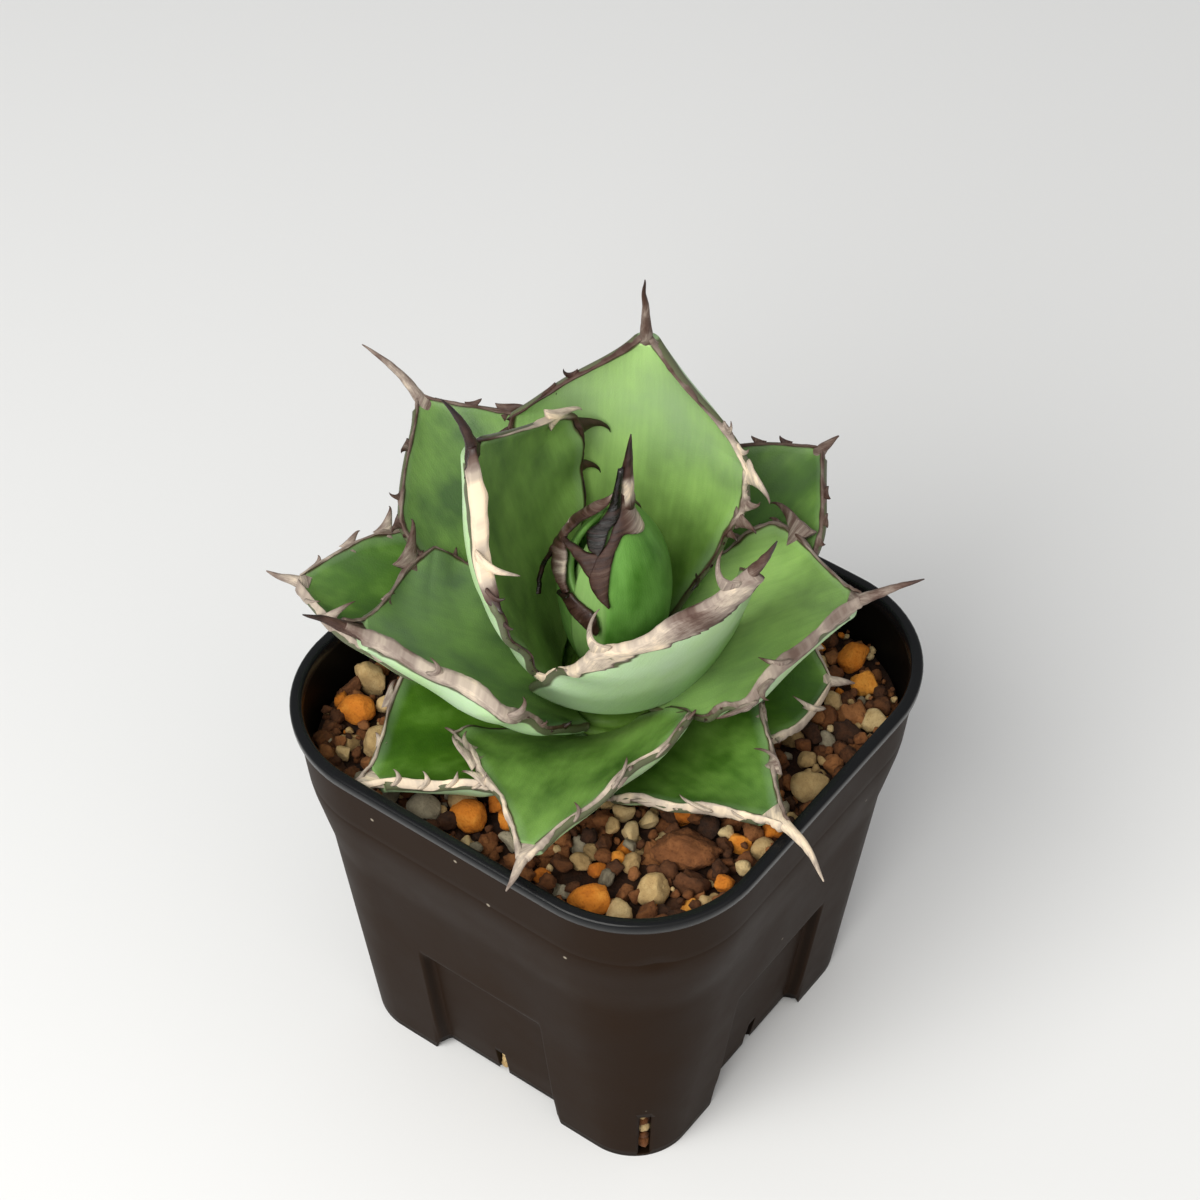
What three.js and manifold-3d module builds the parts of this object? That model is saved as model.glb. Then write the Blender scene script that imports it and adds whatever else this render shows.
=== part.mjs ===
// A potted agave titanota in a square plastic nursery pot, with its gritty soil.
//
// Millimetres, +Z up. The origin is on the surface that the pot stands on, under the middle of the
// whole. The pot's sides lie along X and Y. Everything is worked out about the pot's axis and moved to
// its place at the end.
// A leaf is a thick channelled sheet on a curved midrib. Its horny edge, with the hooked teeth and
// the terminal spine, is a body of its own, 0.3 mm from the green blade.

import * as THREE from 'three';
import { mergeVertices } from 'three/addons/utils/BufferGeometryUtils.js';
import Module from 'manifold-3d';

// Pot
const POT_HEIGHT = 94;
const RIM_HALF = 52.5;
const RIM_RADIUS = 27.3;
const LIP_HEIGHT = 2.4;
const LIP_OUT = 0.9;
const LIP_ROUND = 0.5;
const FOOT_ROUND = 0.8;
const COLLAR_Z = 70;
const COLLAR_HALF = 49.6;
const COLLAR_RADIUS = 25.5;
const BODY_Z = 66;
const BODY_HALF = 47.4;
const BODY_RADIUS = 23.4;
const FOOT_HALF = 38.8;
const FOOT_RADIUS = 12.9;
const WALL = 1.6;
const CORNER_STEPS = 5;
const FOOT_FLOOR = 1.6;
const UNDERSIDE_Z = 2.6;
const PANEL_HALF = 16;
const PANEL_DRAFT = 1.5;
const PANEL_DEPTH = 5.5;
const PANEL_ROOF_Z = 42;
const PANEL_ROOF_DROP = 6;
const PANEL_MOUTH = 4;
const SLIT_WIDTH = 2.4;
const SLIT_LIFT = 0.4;
const CORNER_SLIT_TOP = 14;
const PANEL_SLIT_TOP = 11;

// Where the pot's axis stands. It is off the origin because the plant is, and the origin is under
// the middle of the whole.
const AXIS_X = 4.5;
const AXIS_Y = 1.2;

// Soil and stones
const CLEARANCE = 0.3;
const SOIL_Z = 82;
const GRAIN_COUNT = 46;
const GRAIN_CLEAR = 20;
const GRAIN_SMALL = 2.4;
const GRAIN_LARGE = 4.6;
const GRAIN_SEED = 41;
const STONE_SINK = 0.35;
const STONE_ROUGH = [0.84, 1.16];
const STONE_GROWTH = 2.6;

// Stem and bud
// The stem's outline is [share of its radius, height].
const STEM_RADIUS = 8.5;
const STEM_PROFILE = [[0.7, 66], [1, 71], [1, 94], [0.72, 100]];
const STEM_SIDES = 16;

// Leaves
const ROOT_RADIUS = 9;
const BLADE_ROWS = 10;
const BLADE_COLUMNS = 4;
const EDGE_THICKNESS = 1.5;
const ROOT_THICKNESS = 6.5;
const TIP_THICKNESS = 3;
const BAND_START = 0.16;
const BAND_ROOT = 1.2;
const BAND_GROWTH = 0.3;
const BAND_PROUD = 0.25;
const WAVE_COUNT = 4;
const WAVE_HEIGHT = 0.7;
const LOBE_LENGTH = 0.055;
const LOBE_HEIGHT = 0.12;
const SPINE_SIDES = 5;
const SPINE_RADIUS = 1.2;
const SPINE_POINT = 0.2;
const SPINE_STEPS = 4;
const TOOTH_SIDES = 3;
const TOOTH_RADIUS = 0.85;
const TOOTH_SINK = 0.7;
// A tooth rises straight for this share of its length, then hooks over. Its size goes with its length.
const TOOTH_STRAIGHT = 0.4;
const TOOTH_HOOK = 0.2;
const TOOTH_SIZE = [0.7, 0.07];
const TOOTH_ROOT = [1.5, 0.85];
const TOOTH_MIDDLE = [0.85, 0.55];

const GREEN = '#4f8a35';
const BUD_GREEN = '#5d9a5c';
const YOUNG_GREEN = '#8cc07a';
const HORN_OLD = '#a8988a';
const HORN_PALE = '#cdb48f';
const HORN_BROWN = '#5a3a30';
const POT_BLACK = '#1c1a19';

// Each leaf, from the innermost to the lowest. Angles are in degrees: azimuth is the direction in
// which it grows, lean is its tilt from upright at the root and at the tip, turn is how far it
// swings round on the way, roll tips it about its midrib, cup is half the arc of its channel.
// widest is where it is broadest and point how drawn out its tip is. The spine carries on from it.
// A tooth is [side, place along the edge, out, along, up], side 1 being the left seen from above.
const LEAVES = [
  {
    name: 'leaf_01', azimuth: 208.5, rise: 99.5, length: 56.5, lean: [20, 13], turn: -2.5, roll: [0, -9.5],
    width: 55, widest: 0.69, root: 0.4, cup: 35, point: 0.57, bands: { left: 3.4, right: 1.5 }, horn: HORN_PALE,
    spine: { length: 12, lean: 27, turn: 8 },
    teeth: [[1, 0.8, 4, -2.5, 5.8], [1, 0.73, 2, 0, 2.4], [1, 0.63, 2.3, 0, 1.3], [-1, 0.79, 6.5, -2, 0.5],
      [-1, 0.64, 5.5, -4.7, 1.1], [-1, 0.47, 3.3, -3.9, 0.9]],
  },
  {
    name: 'leaf_02', azimuth: 339, rise: 101.5, length: 60.5, lean: [30.5, 28], turn: 23, roll: [-12, -1],
    width: 41.5, widest: 0.41, root: 1, cup: 27.5, point: 0.68, bands: { left: 1.6, right: 3.6 }, horn: HORN_OLD,
    spine: { length: 10, lean: -8, turn: 24 },
    teeth: [[-1, 0.51, 1.2, 4.3, 6.5], [-1, 0.93, 1.2, 3.6, 5.9], [-1, 0.17, 4.8, 1.8, 3.3],
      [1, 0.3, 2, 0, 0], [1, 0.5, 2, 0.5, 0]],
  },
  {
    name: 'leaf_03', azimuth: 113.5, rise: 100.5, length: 62.5, lean: [47, -7], turn: -3.5, roll: [-10.5, -1],
    width: 51.5, widest: 0.67, root: 0.4, cup: 41, point: 0.66, bands: { left: 1.5, right: 1.6 }, horn: HORN_BROWN,
    spine: { length: 16, lean: -1.5, turn: -1.5 },
    teeth: [[-1, 0.77, 1, 3, 0], [-1, 0.72, 1.7, 1.7, -0.5], [-1, 0.66, 7.5, -1.7, 0],
      [-1, 0.52, 3.8, 2, -0.5], [-1, 0.46, 6, -0.2, -0.3], [-1, 0.4, 3.1, -0.6, 0],
      [-1, 0.19, 0.8, -1.8, 2.3], [1, 0.83, 1.5, 1.9, -0.4], [1, 0.78, 2, -1.3, 0.2], [1, 0.6, 3, -1, 0],
      [1, 0.45, 3, 0, 0]],
  },
  {
    name: 'leaf_04', azimuth: 233.5, rise: 93, length: 52.5, lean: [57, 50.5], turn: -3.5, roll: [-3.5, 10],
    width: 50, widest: 0.57, root: 0.48, cup: 42, point: 0.95, bands: { left: 3, right: 1.4 }, horn: HORN_OLD,
    spine: { length: 9, lean: 10, turn: 0 },
    teeth: [[-1, 0.67, 9.3, 0.5, 0], [-1, 0.79, 1, -1.5, 0.2], [-1, 0.45, 2, 0, 0], [1, 0.73, 1, 2.9, 2.5],
      [1, 0.5, 5.3, 1.8, 3.7], [1, 0.33, 1.5, 0, 1.5], [1, 0.18, 1, -0.5, 2]],
  },
  {
    name: 'leaf_05', azimuth: 32, rise: 94.5, length: 48.5, lean: [53.5, 54], turn: -7, roll: [8, -3.5],
    width: 48, widest: 0.61, root: 0.34, cup: 30, point: 0.72, bands: { left: 1.4, right: 3 }, horn: HORN_OLD,
    spine: { length: 13.5, lean: 4.5, turn: 2.5 },
    teeth: [[1, 0.71, 8.6, -4.2, 0.7], [1, 0.62, 1.5, -1.6, 0.2], [1, 0.45, 1.8, -1.9, 0.3],
      [-1, 0.74, 0.8, -3.4, 3], [-1, 0.67, 4.7, 2, -2.2], [-1, 0.59, 5.9, -3.2, 1.1]],
  },
  {
    name: 'leaf_06', azimuth: 165.5, rise: 93.5, length: 60.5, lean: [52, 60.5], turn: 0.5, roll: [-1, -3.5],
    width: 40.5, widest: 0.66, root: 0.4, cup: 34, point: 0.62, bands: { left: 1.6, right: 1.5 }, horn: HORN_OLD,
    spine: { length: 16, lean: 16, turn: 23 },
    teeth: [[-1, 0.88, 2.2, 0, 0], [-1, 0.81, 4.2, -2.1, 0], [-1, 0.62, 3, 0.5, 0], [1, 0.87, 3, -0.6, 0],
      [1, 0.73, 2, 1.7, 0], [1, 0.66, 3.4, -1.1, 0], [1, 0.5, 2.5, 0.5, 0]],
  },
  {
    name: 'leaf_07', azimuth: 293, rise: 87, length: 48, lean: [50.5, 95.5], turn: -9.5, roll: [19, 13],
    width: 49, widest: 0.37, root: 0.4, cup: 36, point: 0.69, bands: { left: 1.8, right: 1.9 }, horn: HORN_OLD,
    spine: { length: 7.5, lean: 3, turn: -2.5 },
    teeth: [[-1, 0.66, 4.2, 1, 0], [-1, 0.58, 6, -2.3, 0.6], [-1, 0.52, 2.2, -3.1, 0.9],
      [-1, 0.35, 2.5, 0, 0], [1, 0.65, 2.9, -3, 1.9], [1, 0.5, 2.4, 0, 0], [1, 0.79, 0.8, -0.4, 2.5],
      [1, 0.36, 2.5, 0, 0.5]],
  },
  {
    name: 'leaf_08', azimuth: 77.5, rise: 91.5, length: 56, lean: [44.5, 60.5], turn: -5, roll: [3.5, 2],
    width: 41, widest: 0.59, root: 0.4, cup: 36, point: 0.23, bands: { left: 1.5, right: 1.5 }, horn: HORN_OLD,
    spine: { length: 4.5, lean: 9, turn: -11 },
    teeth: [[1, 0.87, 1.9, 0, 0], [1, 0.93, 1.6, 0.4, 0], [1, 0.7, 3, 0, 0], [-1, 0.89, 2.9, 0, 0],
      [-1, 0.82, 2.5, -0.6, 0], [-1, 0.66, 3, 0.5, 0], [-1, 0.5, 2.5, 0, 0]],
  },
  {
    name: 'leaf_09', azimuth: 206.5, rise: 90, length: 56.5, lean: [61.5, 77.5], turn: -1.5, roll: [0, -1.5],
    width: 39, widest: 0.59, root: 0.4, cup: 41, point: 0.12, bands: { left: 1.8, right: 1.5 }, horn: HORN_OLD,
    spine: { length: 6.5, lean: -1.5, turn: -2 },
    teeth: [[-1, 0.77, 5, 0.5, 0], [-1, 0.87, 3.3, -0.9, 0], [-1, 0.95, 1.2, 0.6, 0], [-1, 0.6, 3, 0, 0],
      [1, 0.86, 0.8, -3.7, 5.5], [1, 0.93, 0.8, -1.6, 0.9], [1, 0.66, 2.5, 0, 1]],
  },
  {
    name: 'leaf_10', azimuth: 345, rise: 84.5, length: 45.5, lean: [59.5, 87.5], turn: 2, roll: [9, 5.5],
    width: 37.5, widest: 0.43, root: 0.4, cup: 33, point: 0.73, bands: { left: 1.9, right: 2.2 }, horn: HORN_OLD,
    spine: { length: 14.5, lean: 13.5, turn: -26 },
    teeth: [[-1, 0.72, 2.9, -3.7, 1.1], [-1, 0.52, 2.6, -0.5, 0], [-1, 0.84, 0.8, -1.5, 0.8],
      [-1, 0.38, 2, 0, 0], [1, 0.77, 0.8, -2.5, 5], [1, 0.56, 1.5, -2.2, 0.4], [1, 0.4, 2.5, 0, 0]],
  },
  {
    name: 'leaf_11', azimuth: 124, rise: 89.5, length: 50, lean: [62, 80], turn: 4, roll: [0, 0],
    width: 40, widest: 0.56, root: 0.4, cup: 36, point: 0.5, bands: { left: 1.6, right: 1.6 }, horn: HORN_OLD,
    spine: { length: 9, lean: 4, turn: 6 },
    teeth: [[-1, 0.85, 3, 1, 0], [-1, 0.7, 3, -1, 0.5], [-1, 0.55, 2.5, 0, 0], [-1, 0.38, 2.5, 0.5, 0],
      [1, 0.83, 3, 0.5, 0], [1, 0.68, 3.5, -1, 0], [1, 0.52, 2.5, 0.5, 0], [1, 0.38, 2, 0, 0]],
  },
  {
    name: 'leaf_12', azimuth: 244.5, rise: 87, length: 47, lean: [80, 86], turn: 2, roll: [2, 8.5],
    width: 39, widest: 0.58, root: 0.4, cup: 45, point: 0.95, bands: { left: 2.4, right: 1.7 }, horn: HORN_PALE,
    spine: { length: 3.5, lean: 2, turn: 2 },
    teeth: [[-1, 0.69, 3.6, -2.4, 0.2], [-1, 0.81, 1.5, 0.3, 0], [-1, 0.55, 2.5, 0.5, 0],
      [1, 0.85, 1.2, 0.5, 2.8], [1, 0.77, 1.2, 0.2, 3], [1, 0.69, 2, -0.5, 2.2], [1, 0.61, 2, -0.8, 2.2]],
  },
  {
    name: 'leaf_13', azimuth: 34.5, rise: 86.5, length: 39, lean: [62, 95], turn: 3, roll: [0.5, 5],
    width: 38, widest: 0.63, root: 0.4, cup: 38, point: 0, bands: { left: 1.6, right: 1.6 }, horn: HORN_OLD,
    spine: { length: 5, lean: 3, turn: -4.5 },
    teeth: [[-1, 0.9, 0.8, -4.2, 3.2], [-1, 0.7, 2.5, 0, 0], [1, 0.92, 0.8, -3.2, 0], [1, 0.8, 3, 0, 0],
      [1, 0.62, 2.5, 0.5, 0]],
  },
  {
    name: 'leaf_14', azimuth: 166, rise: 85.5, length: 40, lean: [69, 78], turn: -3, roll: [0, 0],
    width: 36, widest: 0.56, root: 0.4, cup: 30, point: 0.4, bands: { left: 1.6, right: 1.6 }, horn: HORN_OLD,
    spine: { length: 6, lean: 4, turn: 4 },
    teeth: [[-1, 0.84, 2.5, 1, 0], [-1, 0.68, 3, -1, 0.5], [-1, 0.5, 2.5, 0, 0], [1, 0.86, 2.5, 0, 0],
      [1, 0.7, 3, 0.5, 0.5], [1, 0.54, 2.5, -0.5, 0], [1, 0.4, 2, 0, 0]],
  },
];

// The bud is an egg of leaves still wrapped round each other. Its profile is [height, radius], and
// its axis leans over by BUD_LEAN at the top.
const BUD_LEAN = [0.8, 0.8];
const BUD_PROFILE = [[101, 8], [108, 10.6], [115, 11.9], [121, 12.2], [126, 11.3], [131, 9.7], [135, 7.6], [139, 5], [143, 2.7]];
const BUD_ROWS = 8;
const BUD_SHELL = 1.5;
const HEART_DEPTH = 5.2;
const HEART_SIDES = 10;
const BUD_COLUMNS = 7;
const HEART_TOP = 133;
const HEART_TIP = 140;
// Each leaf of the bud: its depth below the egg's surface, the heights of its root and tip, how far
// its edges lie from its middle in degrees and how wide its horny edges are, both from root to tip.
const BUD_LEAVES = [
  {
    name: 'bud_leaf_left', azimuth: 196, depth: 2.2, bottom: 101, top: 139, horn: HORN_BROWN,
    edges: { left: [104, 103, 72, 36, 26], right: [70, 72, 62, 50, 40] },
    bands: { left: [1.6, 2, 2.6, 2.6, 1.8], right: [1.5, 1.5, 1.5, 1.5, 1.5] },
    spine: { length: 5, radius: 1.3 },
  },
  {
    name: 'bud_leaf_right', azimuth: 16, depth: 0, bottom: 101, top: 143, horn: HORN_BROWN,
    edges: { left: [95, 90, 84, 80, 70], right: [116, 118, 112, 104, 80] },
    bands: { left: [1.5, 1.5, 1.5, 1.6, 1.8], right: [0.9, 0.9, 3, 5.2, 2.2] },
    spine: { length: 17, radius: 2.1 },
  },
];

// Stones that lie on the soil: [name, colour, x, y, length, width, height, turn in degrees].
const STONES = [
  ['stone_brown_large', '#7a4a35', 33, -19.5, 13, 9, 8, 20],
  ['stone_orange_front', '#c8741e', 25.5, -40, 9, 7, 6.5, 50],
  ['stone_orange_left', '#cf7d22', -6, -37.5, 8, 6.5, 6, 10],
  ['stone_orange_back', '#c9721f', 31, 41.5, 7.5, 6, 6, 80],
  ['stone_orange_far_left', '#b9631c', -41, -29, 7.5, 6, 6, 30],
  ['stone_cream_front', '#b9a27c', 33.5, -31, 7.5, 6, 6, 100],
  ['stone_cream_right', '#bfae93', 43, 8, 8.5, 6.5, 6, 60],
  ['stone_tan_left', '#a08a68', -31.5, -33.5, 8, 6.5, 6, 140],
  ['stone_grey_left', '#8f8a7d', -14.5, -41, 7, 6, 5.5, 0],
];

const wasm = await Module();
wasm.setup();

const UP = new THREE.Vector3(0, 0, 1);
const radians = THREE.MathUtils.degToRad;

function mix(a, b, t) {
  return a + (b - a) * t;
}

// The same numbers in every run: a linear congruential sequence from 0 to 1.
function dice(seed) {
  let state = seed;
  return () => {
    state = (state * 1664525 + 1013904223) % 4294967296;
    return state / 4294967296;
  };
}

// A value along a list of evenly spaced ones.
function along(list, t) {
  const x = THREE.MathUtils.clamp(t, 0, 1) * (list.length - 1);
  const i = Math.min(Math.floor(x), list.length - 2);
  return mix(list[i], list[i + 1], x - i);
}

function solid(geometry) {
  const bare = geometry.index ? geometry.toNonIndexed() : geometry.clone();
  for (const name of Object.keys(bare.attributes)) {
    if (name !== 'position') bare.deleteAttribute(name);
  }
  const merged = mergeVertices(bare, 1e-5);
  return new wasm.Manifold(new wasm.Mesh({
    numProp: 3,
    vertProperties: new Float32Array(merged.attributes.position.array),
    triVerts: new Uint32Array(merged.index.array),
  }));
}

function geometryOf(body) {
  const mesh = body.getMesh();
  const geometry = new THREE.BufferGeometry();
  geometry.setAttribute('position', new THREE.BufferAttribute(new Float32Array(mesh.vertProperties), 3));
  geometry.setIndex(Array.from(mesh.triVerts));
  return geometry;
}

function fuse(bodies) {
  return bodies.reduce((sum, body) => sum.add(body));
}

// The largest piece of a body, with the loose scraps that a cut leaves taken away.
function main(body) {
  const pieces = body.decompose();
  return pieces.reduce((best, piece) => (piece.volume() > best.volume() ? piece : best));
}

function triangles(list) {
  const geometry = new THREE.BufferGeometry();
  geometry.setFromPoints(list);
  return geometry;
}

// A closed body through rings of points that all run the same way round, with flat fans at its ends.
// A ring of one point is a tip.
function loft(rings) {
  const list = [];
  for (let i = 0; i + 1 < rings.length; i += 1) {
    const near = rings[i];
    const far = rings[i + 1];
    const count = Math.max(near.length, far.length);
    for (let j = 0; j < count; j += 1) {
      const k = (j + 1) % count;
      if (near.length > 1) list.push(near[j], near[k], far.length > 1 ? far[k] : far[0]);
      if (far.length > 1) list.push(near.length > 1 ? near[j] : near[0], far[k], far[j]);
    }
  }
  const first = rings[0];
  const last = rings[rings.length - 1];
  for (let j = 1; j + 1 < first.length; j += 1) list.push(first[0], first[j + 1], first[j]);
  for (let j = 1; j + 1 < last.length; j += 1) list.push(last[0], last[j], last[j + 1]);
  return solid(triangles(list));
}

// A closed sheet between two grids of points. Both faces are split along the same diagonals.
function sheet(top, bottom) {
  const list = [];
  const rows = top.length - 1;
  const columns = top[0].length - 1;
  const quad = (a, b, c, d) => list.push(a, b, c, a, c, d);
  for (let i = 0; i < rows; i += 1) {
    for (let j = 0; j < columns; j += 1) {
      quad(top[i][j], top[i + 1][j], top[i + 1][j + 1], top[i][j + 1]);
      list.push(bottom[i][j], bottom[i + 1][j + 1], bottom[i + 1][j]);
      list.push(bottom[i][j], bottom[i][j + 1], bottom[i + 1][j + 1]);
    }
    quad(bottom[i][0], bottom[i + 1][0], top[i + 1][0], top[i][0]);
    quad(top[i][columns], top[i + 1][columns], bottom[i + 1][columns], bottom[i][columns]);
  }
  for (let j = 0; j < columns; j += 1) {
    quad(bottom[0][j], top[0][j], top[0][j + 1], bottom[0][j + 1]);
    quad(top[rows][j], bottom[rows][j], bottom[rows][j + 1], top[rows][j + 1]);
  }
  const body = solid(triangles(list));
  return body.volume() > 0 ? body : solid(triangles(list.slice().reverse()));
}

// Pot

function squareRing(half, radius, z) {
  const ring = [];
  for (let corner = 0; corner < 4; corner += 1) {
    for (let i = 0; i <= CORNER_STEPS; i += 1) {
      const angle = (corner + i / CORNER_STEPS) * Math.PI / 2;
      const x = (half - radius) * (corner === 0 || corner === 3 ? 1 : -1);
      const y = (half - radius) * (corner < 2 ? 1 : -1);
      ring.push(new THREE.Vector3(x + radius * Math.cos(angle), y + radius * Math.sin(angle), z));
    }
  }
  return ring;
}

// Half width and corner radius of the pot's outside below the lip.
function potOutline(z) {
  if (z >= COLLAR_Z) {
    const t = (z - COLLAR_Z) / (POT_HEIGHT - COLLAR_Z);
    return [mix(COLLAR_HALF, RIM_HALF - LIP_OUT, t), mix(COLLAR_RADIUS, RIM_RADIUS - LIP_OUT, t)];
  }
  if (z >= BODY_Z) {
    const t = (z - BODY_Z) / (COLLAR_Z - BODY_Z);
    return [mix(BODY_HALF, COLLAR_HALF, t), mix(BODY_RADIUS, COLLAR_RADIUS, t)];
  }
  const t = z / BODY_Z;
  return [mix(FOOT_HALF, BODY_HALF, t), mix(FOOT_RADIUS, BODY_RADIUS, t)];
}

function potRing(z, inset) {
  const [half, radius] = potOutline(z);
  return squareRing(half - inset, radius - inset, z);
}

function block(x0, x1, y0, y1, z0, z1) {
  const geometry = new THREE.BoxGeometry(x1 - x0, y1 - y0, z1 - z0);
  geometry.translate((x0 + x1) / 2, (y0 + y1) / 2, (z0 + z1) / 2);
  return solid(geometry);
}

// The hollow pressed into the side that faces -Y, grown on all sides by a wall.
function panel(wall) {
  const outside = -POT_HEIGHT;
  const inside = -(FOOT_HALF - PANEL_DEPTH) + wall;
  const half = PANEL_HALF + wall;
  const back = half - PANEL_DRAFT;
  const bottom = UNDERSIDE_Z - POT_HEIGHT;
  const roof = PANEL_ROOF_Z + wall;
  const mouth = -(FOOT_HALF + PANEL_MOUTH);
  const slope = PANEL_ROOF_DROP / (inside - mouth);
  const wide = half + PANEL_DRAFT * (mouth - outside) / (inside - mouth);
  const high = roof + slope * (mouth - outside);
  const ring = (h, y, top) => [
    new THREE.Vector3(-h, y, bottom), new THREE.Vector3(h, y, bottom),
    new THREE.Vector3(h, y, top), new THREE.Vector3(-h, y, top),
  ];
  return loft([ring(wide, outside, high), ring(back, inside, roof - PANEL_ROOF_DROP)].reverse());
}

function quarterTurns(body) {
  return fuse([0, 90, 180, 270].map((angle) => body.rotate([0, 0, angle])));
}

function makePot() {
  const outside = loft([
    potRing(0, FOOT_ROUND), potRing(FOOT_ROUND, 0), potRing(BODY_Z, 0), potRing(COLLAR_Z, 0),
    potRing(POT_HEIGHT - LIP_HEIGHT - LIP_OUT, 0), potRing(POT_HEIGHT - LIP_HEIGHT, -LIP_OUT),
    potRing(POT_HEIGHT - LIP_ROUND, -LIP_OUT), potRing(POT_HEIGHT, -LIP_OUT + LIP_ROUND),
  ]);
  const hollow = loft([
    potRing(FOOT_FLOOR, WALL), potRing(BODY_Z, WALL), potRing(COLLAR_Z, WALL), potRing(POT_HEIGHT + 1, WALL),
  ]);
  const long = POT_HEIGHT;
  const underside = block(-PANEL_HALF, PANEL_HALF, -long, long, -1, UNDERSIDE_Z)
    .add(block(-long, long, -PANEL_HALF, PANEL_HALF, -1, UNDERSIDE_Z));
  const floor = UNDERSIDE_Z + WALL;
  const floorHalf = PANEL_HALF + WALL;
  const raised = block(-floorHalf, floorHalf, -long, long, -1, floor)
    .add(block(-long, long, -floorHalf, floorHalf, -1, floor));
  const cavity = hollow.subtract(quarterTurns(panel(WALL))).subtract(raised);
  const cornerSlit = block(0, long, -SLIT_WIDTH / 2, SLIT_WIDTH / 2, FOOT_FLOOR + SLIT_LIFT, CORNER_SLIT_TOP);
  const panelSlit = block(-SLIT_WIDTH / 2, SLIT_WIDTH / 2, -long, -PANEL_HALF, floor + SLIT_LIFT, PANEL_SLIT_TOP);
  return outside.subtract(quarterTurns(panel(0))).subtract(underside).subtract(cavity)
    .subtract(quarterTurns(cornerSlit.rotate([0, 0, 45])))
    .subtract(quarterTurns(panelSlit));
}

// Soil

const STONE_SHAPE = new THREE.IcosahedronGeometry(0.5, 0);
const GRAIN_SHAPE = new THREE.OctahedronGeometry(0.5, 0);

function stone(shape, x, y, z, length, width, height, turn, random) {
  const geometry = mergeVertices(shape.clone().deleteAttribute('normal').deleteAttribute('uv'));
  const place = geometry.attributes.position;
  for (let i = 0; i < place.count; i += 1) {
    const rough = mix(...STONE_ROUGH, random());
    place.setXYZ(i, place.getX(i) * rough * length, place.getY(i) * rough * width, place.getZ(i) * rough * height);
  }
  geometry.rotateZ(radians(turn));
  geometry.translate(x, y, z);
  return solid(geometry);
}

// Whether a point of the ground plan lies inside the pot, some way from its wall.
function insidePot(x, y, margin) {
  const [half, radius] = potOutline(SOIL_Z);
  const dx = Math.max(Math.abs(x) - (half - radius), 0);
  const dy = Math.max(Math.abs(y) - (half - radius), 0);
  return Math.hypot(dx, dy) < radius - margin;
}

function makeStones(grow) {
  const random = dice(GRAIN_SEED + 1);
  const extra = grow * STONE_GROWTH;
  return STONES.map(([, , x, y, length, width, height, turn]) => stone(STONE_SHAPE, x, y,
    SOIL_Z + height * (0.5 - STONE_SINK), length + extra, width + extra, height + extra, turn, random));
}

function makeSoil() {
  const inset = WALL + CLEARANCE;
  const body = loft([
    potRing(FOOT_FLOOR + CLEARANCE, inset), potRing(BODY_Z, inset), potRing(COLLAR_Z, inset), potRing(SOIL_Z, inset),
  ]);
  const half = PANEL_HALF + inset;
  const floor = UNDERSIDE_Z + WALL + CLEARANCE;
  const long = POT_HEIGHT;
  const raised = block(-half, half, -long, long, -1, floor).add(block(-long, long, -half, half, -1, floor));
  const random = dice(GRAIN_SEED);
  const grains = [];
  const reach = RIM_HALF;
  while (grains.length < GRAIN_COUNT) {
    const x = mix(-reach, reach, random());
    const y = mix(-reach, reach, random());
    const size = mix(GRAIN_SMALL, GRAIN_LARGE, random()) * 2;
    const turn = random() * 180;
    if (insidePot(x, y, WALL + CLEARANCE + size * 0.62) && Math.hypot(x, y) > GRAIN_CLEAR) {
      grains.push(stone(GRAIN_SHAPE, x, y, SOIL_Z + size * 0.1, size * 1.2, size, size, turn, random));
    }
  }
  return body.subtract(quarterTurns(panel(inset))).subtract(raised).add(fuse(grains));
}

// Stem

function makeStem(grow) {
  const [bottom, top] = [STEM_PROFILE[0], STEM_PROFILE[STEM_PROFILE.length - 1]].map(([, z]) => z);
  const profile = [new THREE.Vector2(0, bottom - grow)];
  for (const [share, z] of STEM_PROFILE) {
    const end = Number(z === top) - Number(z === bottom);
    profile.push(new THREE.Vector2(share * (STEM_RADIUS + grow), z + end * grow));
  }
  profile.push(new THREE.Vector2(0, top + grow));
  const geometry = new THREE.LatheGeometry(profile, STEM_SIDES);
  geometry.rotateX(Math.PI / 2);
  return solid(geometry);
}

// Leaves

// The point of the midrib at a share of its length, with its direction, its left side and its face.
function ribAt(leaf, share) {
  const steps = 12;
  const point = new THREE.Vector3(ROOT_RADIUS, 0, leaf.rise).applyAxisAngle(UP, radians(leaf.azimuth));
  const direction = (t) => {
    const lean = radians(mix(leaf.lean[0], leaf.lean[1], t));
    const azimuth = radians(leaf.azimuth + leaf.turn * t);
    return new THREE.Vector3(Math.sin(lean) * Math.cos(azimuth), Math.sin(lean) * Math.sin(azimuth), Math.cos(lean));
  };
  for (let i = 0; i < steps; i += 1) {
    point.addScaledVector(direction(share * (i + 0.5) / steps), leaf.length * share / steps);
  }
  const forward = direction(share);
  const azimuth = radians(leaf.azimuth + leaf.turn * share);
  const left = new THREE.Vector3(-Math.sin(azimuth), Math.cos(azimuth), 0);
  const face = new THREE.Vector3().crossVectors(forward, left);
  const roll = radians(mix(leaf.roll[0], leaf.roll[1], share));
  left.applyAxisAngle(forward, roll);
  face.applyAxisAngle(forward, roll);
  return { point, forward, left, face };
}

// Half the leaf's width along its curved section, without the lobes that carry the teeth.
function plainHalf(leaf, share) {
  const rise = leaf.root + (1 - leaf.root) * Math.sin(Math.PI / 2 * Math.min(Math.max(share, 0) / leaf.widest, 1));
  const u = THREE.MathUtils.clamp((share - leaf.widest) / (1 - leaf.widest), 0, 1);
  const fall = 0.96 * (1 - u * u) * (1 - leaf.point * u) + 0.04;
  return leaf.width / 2 * (share < leaf.widest ? rise : fall);
}

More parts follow.
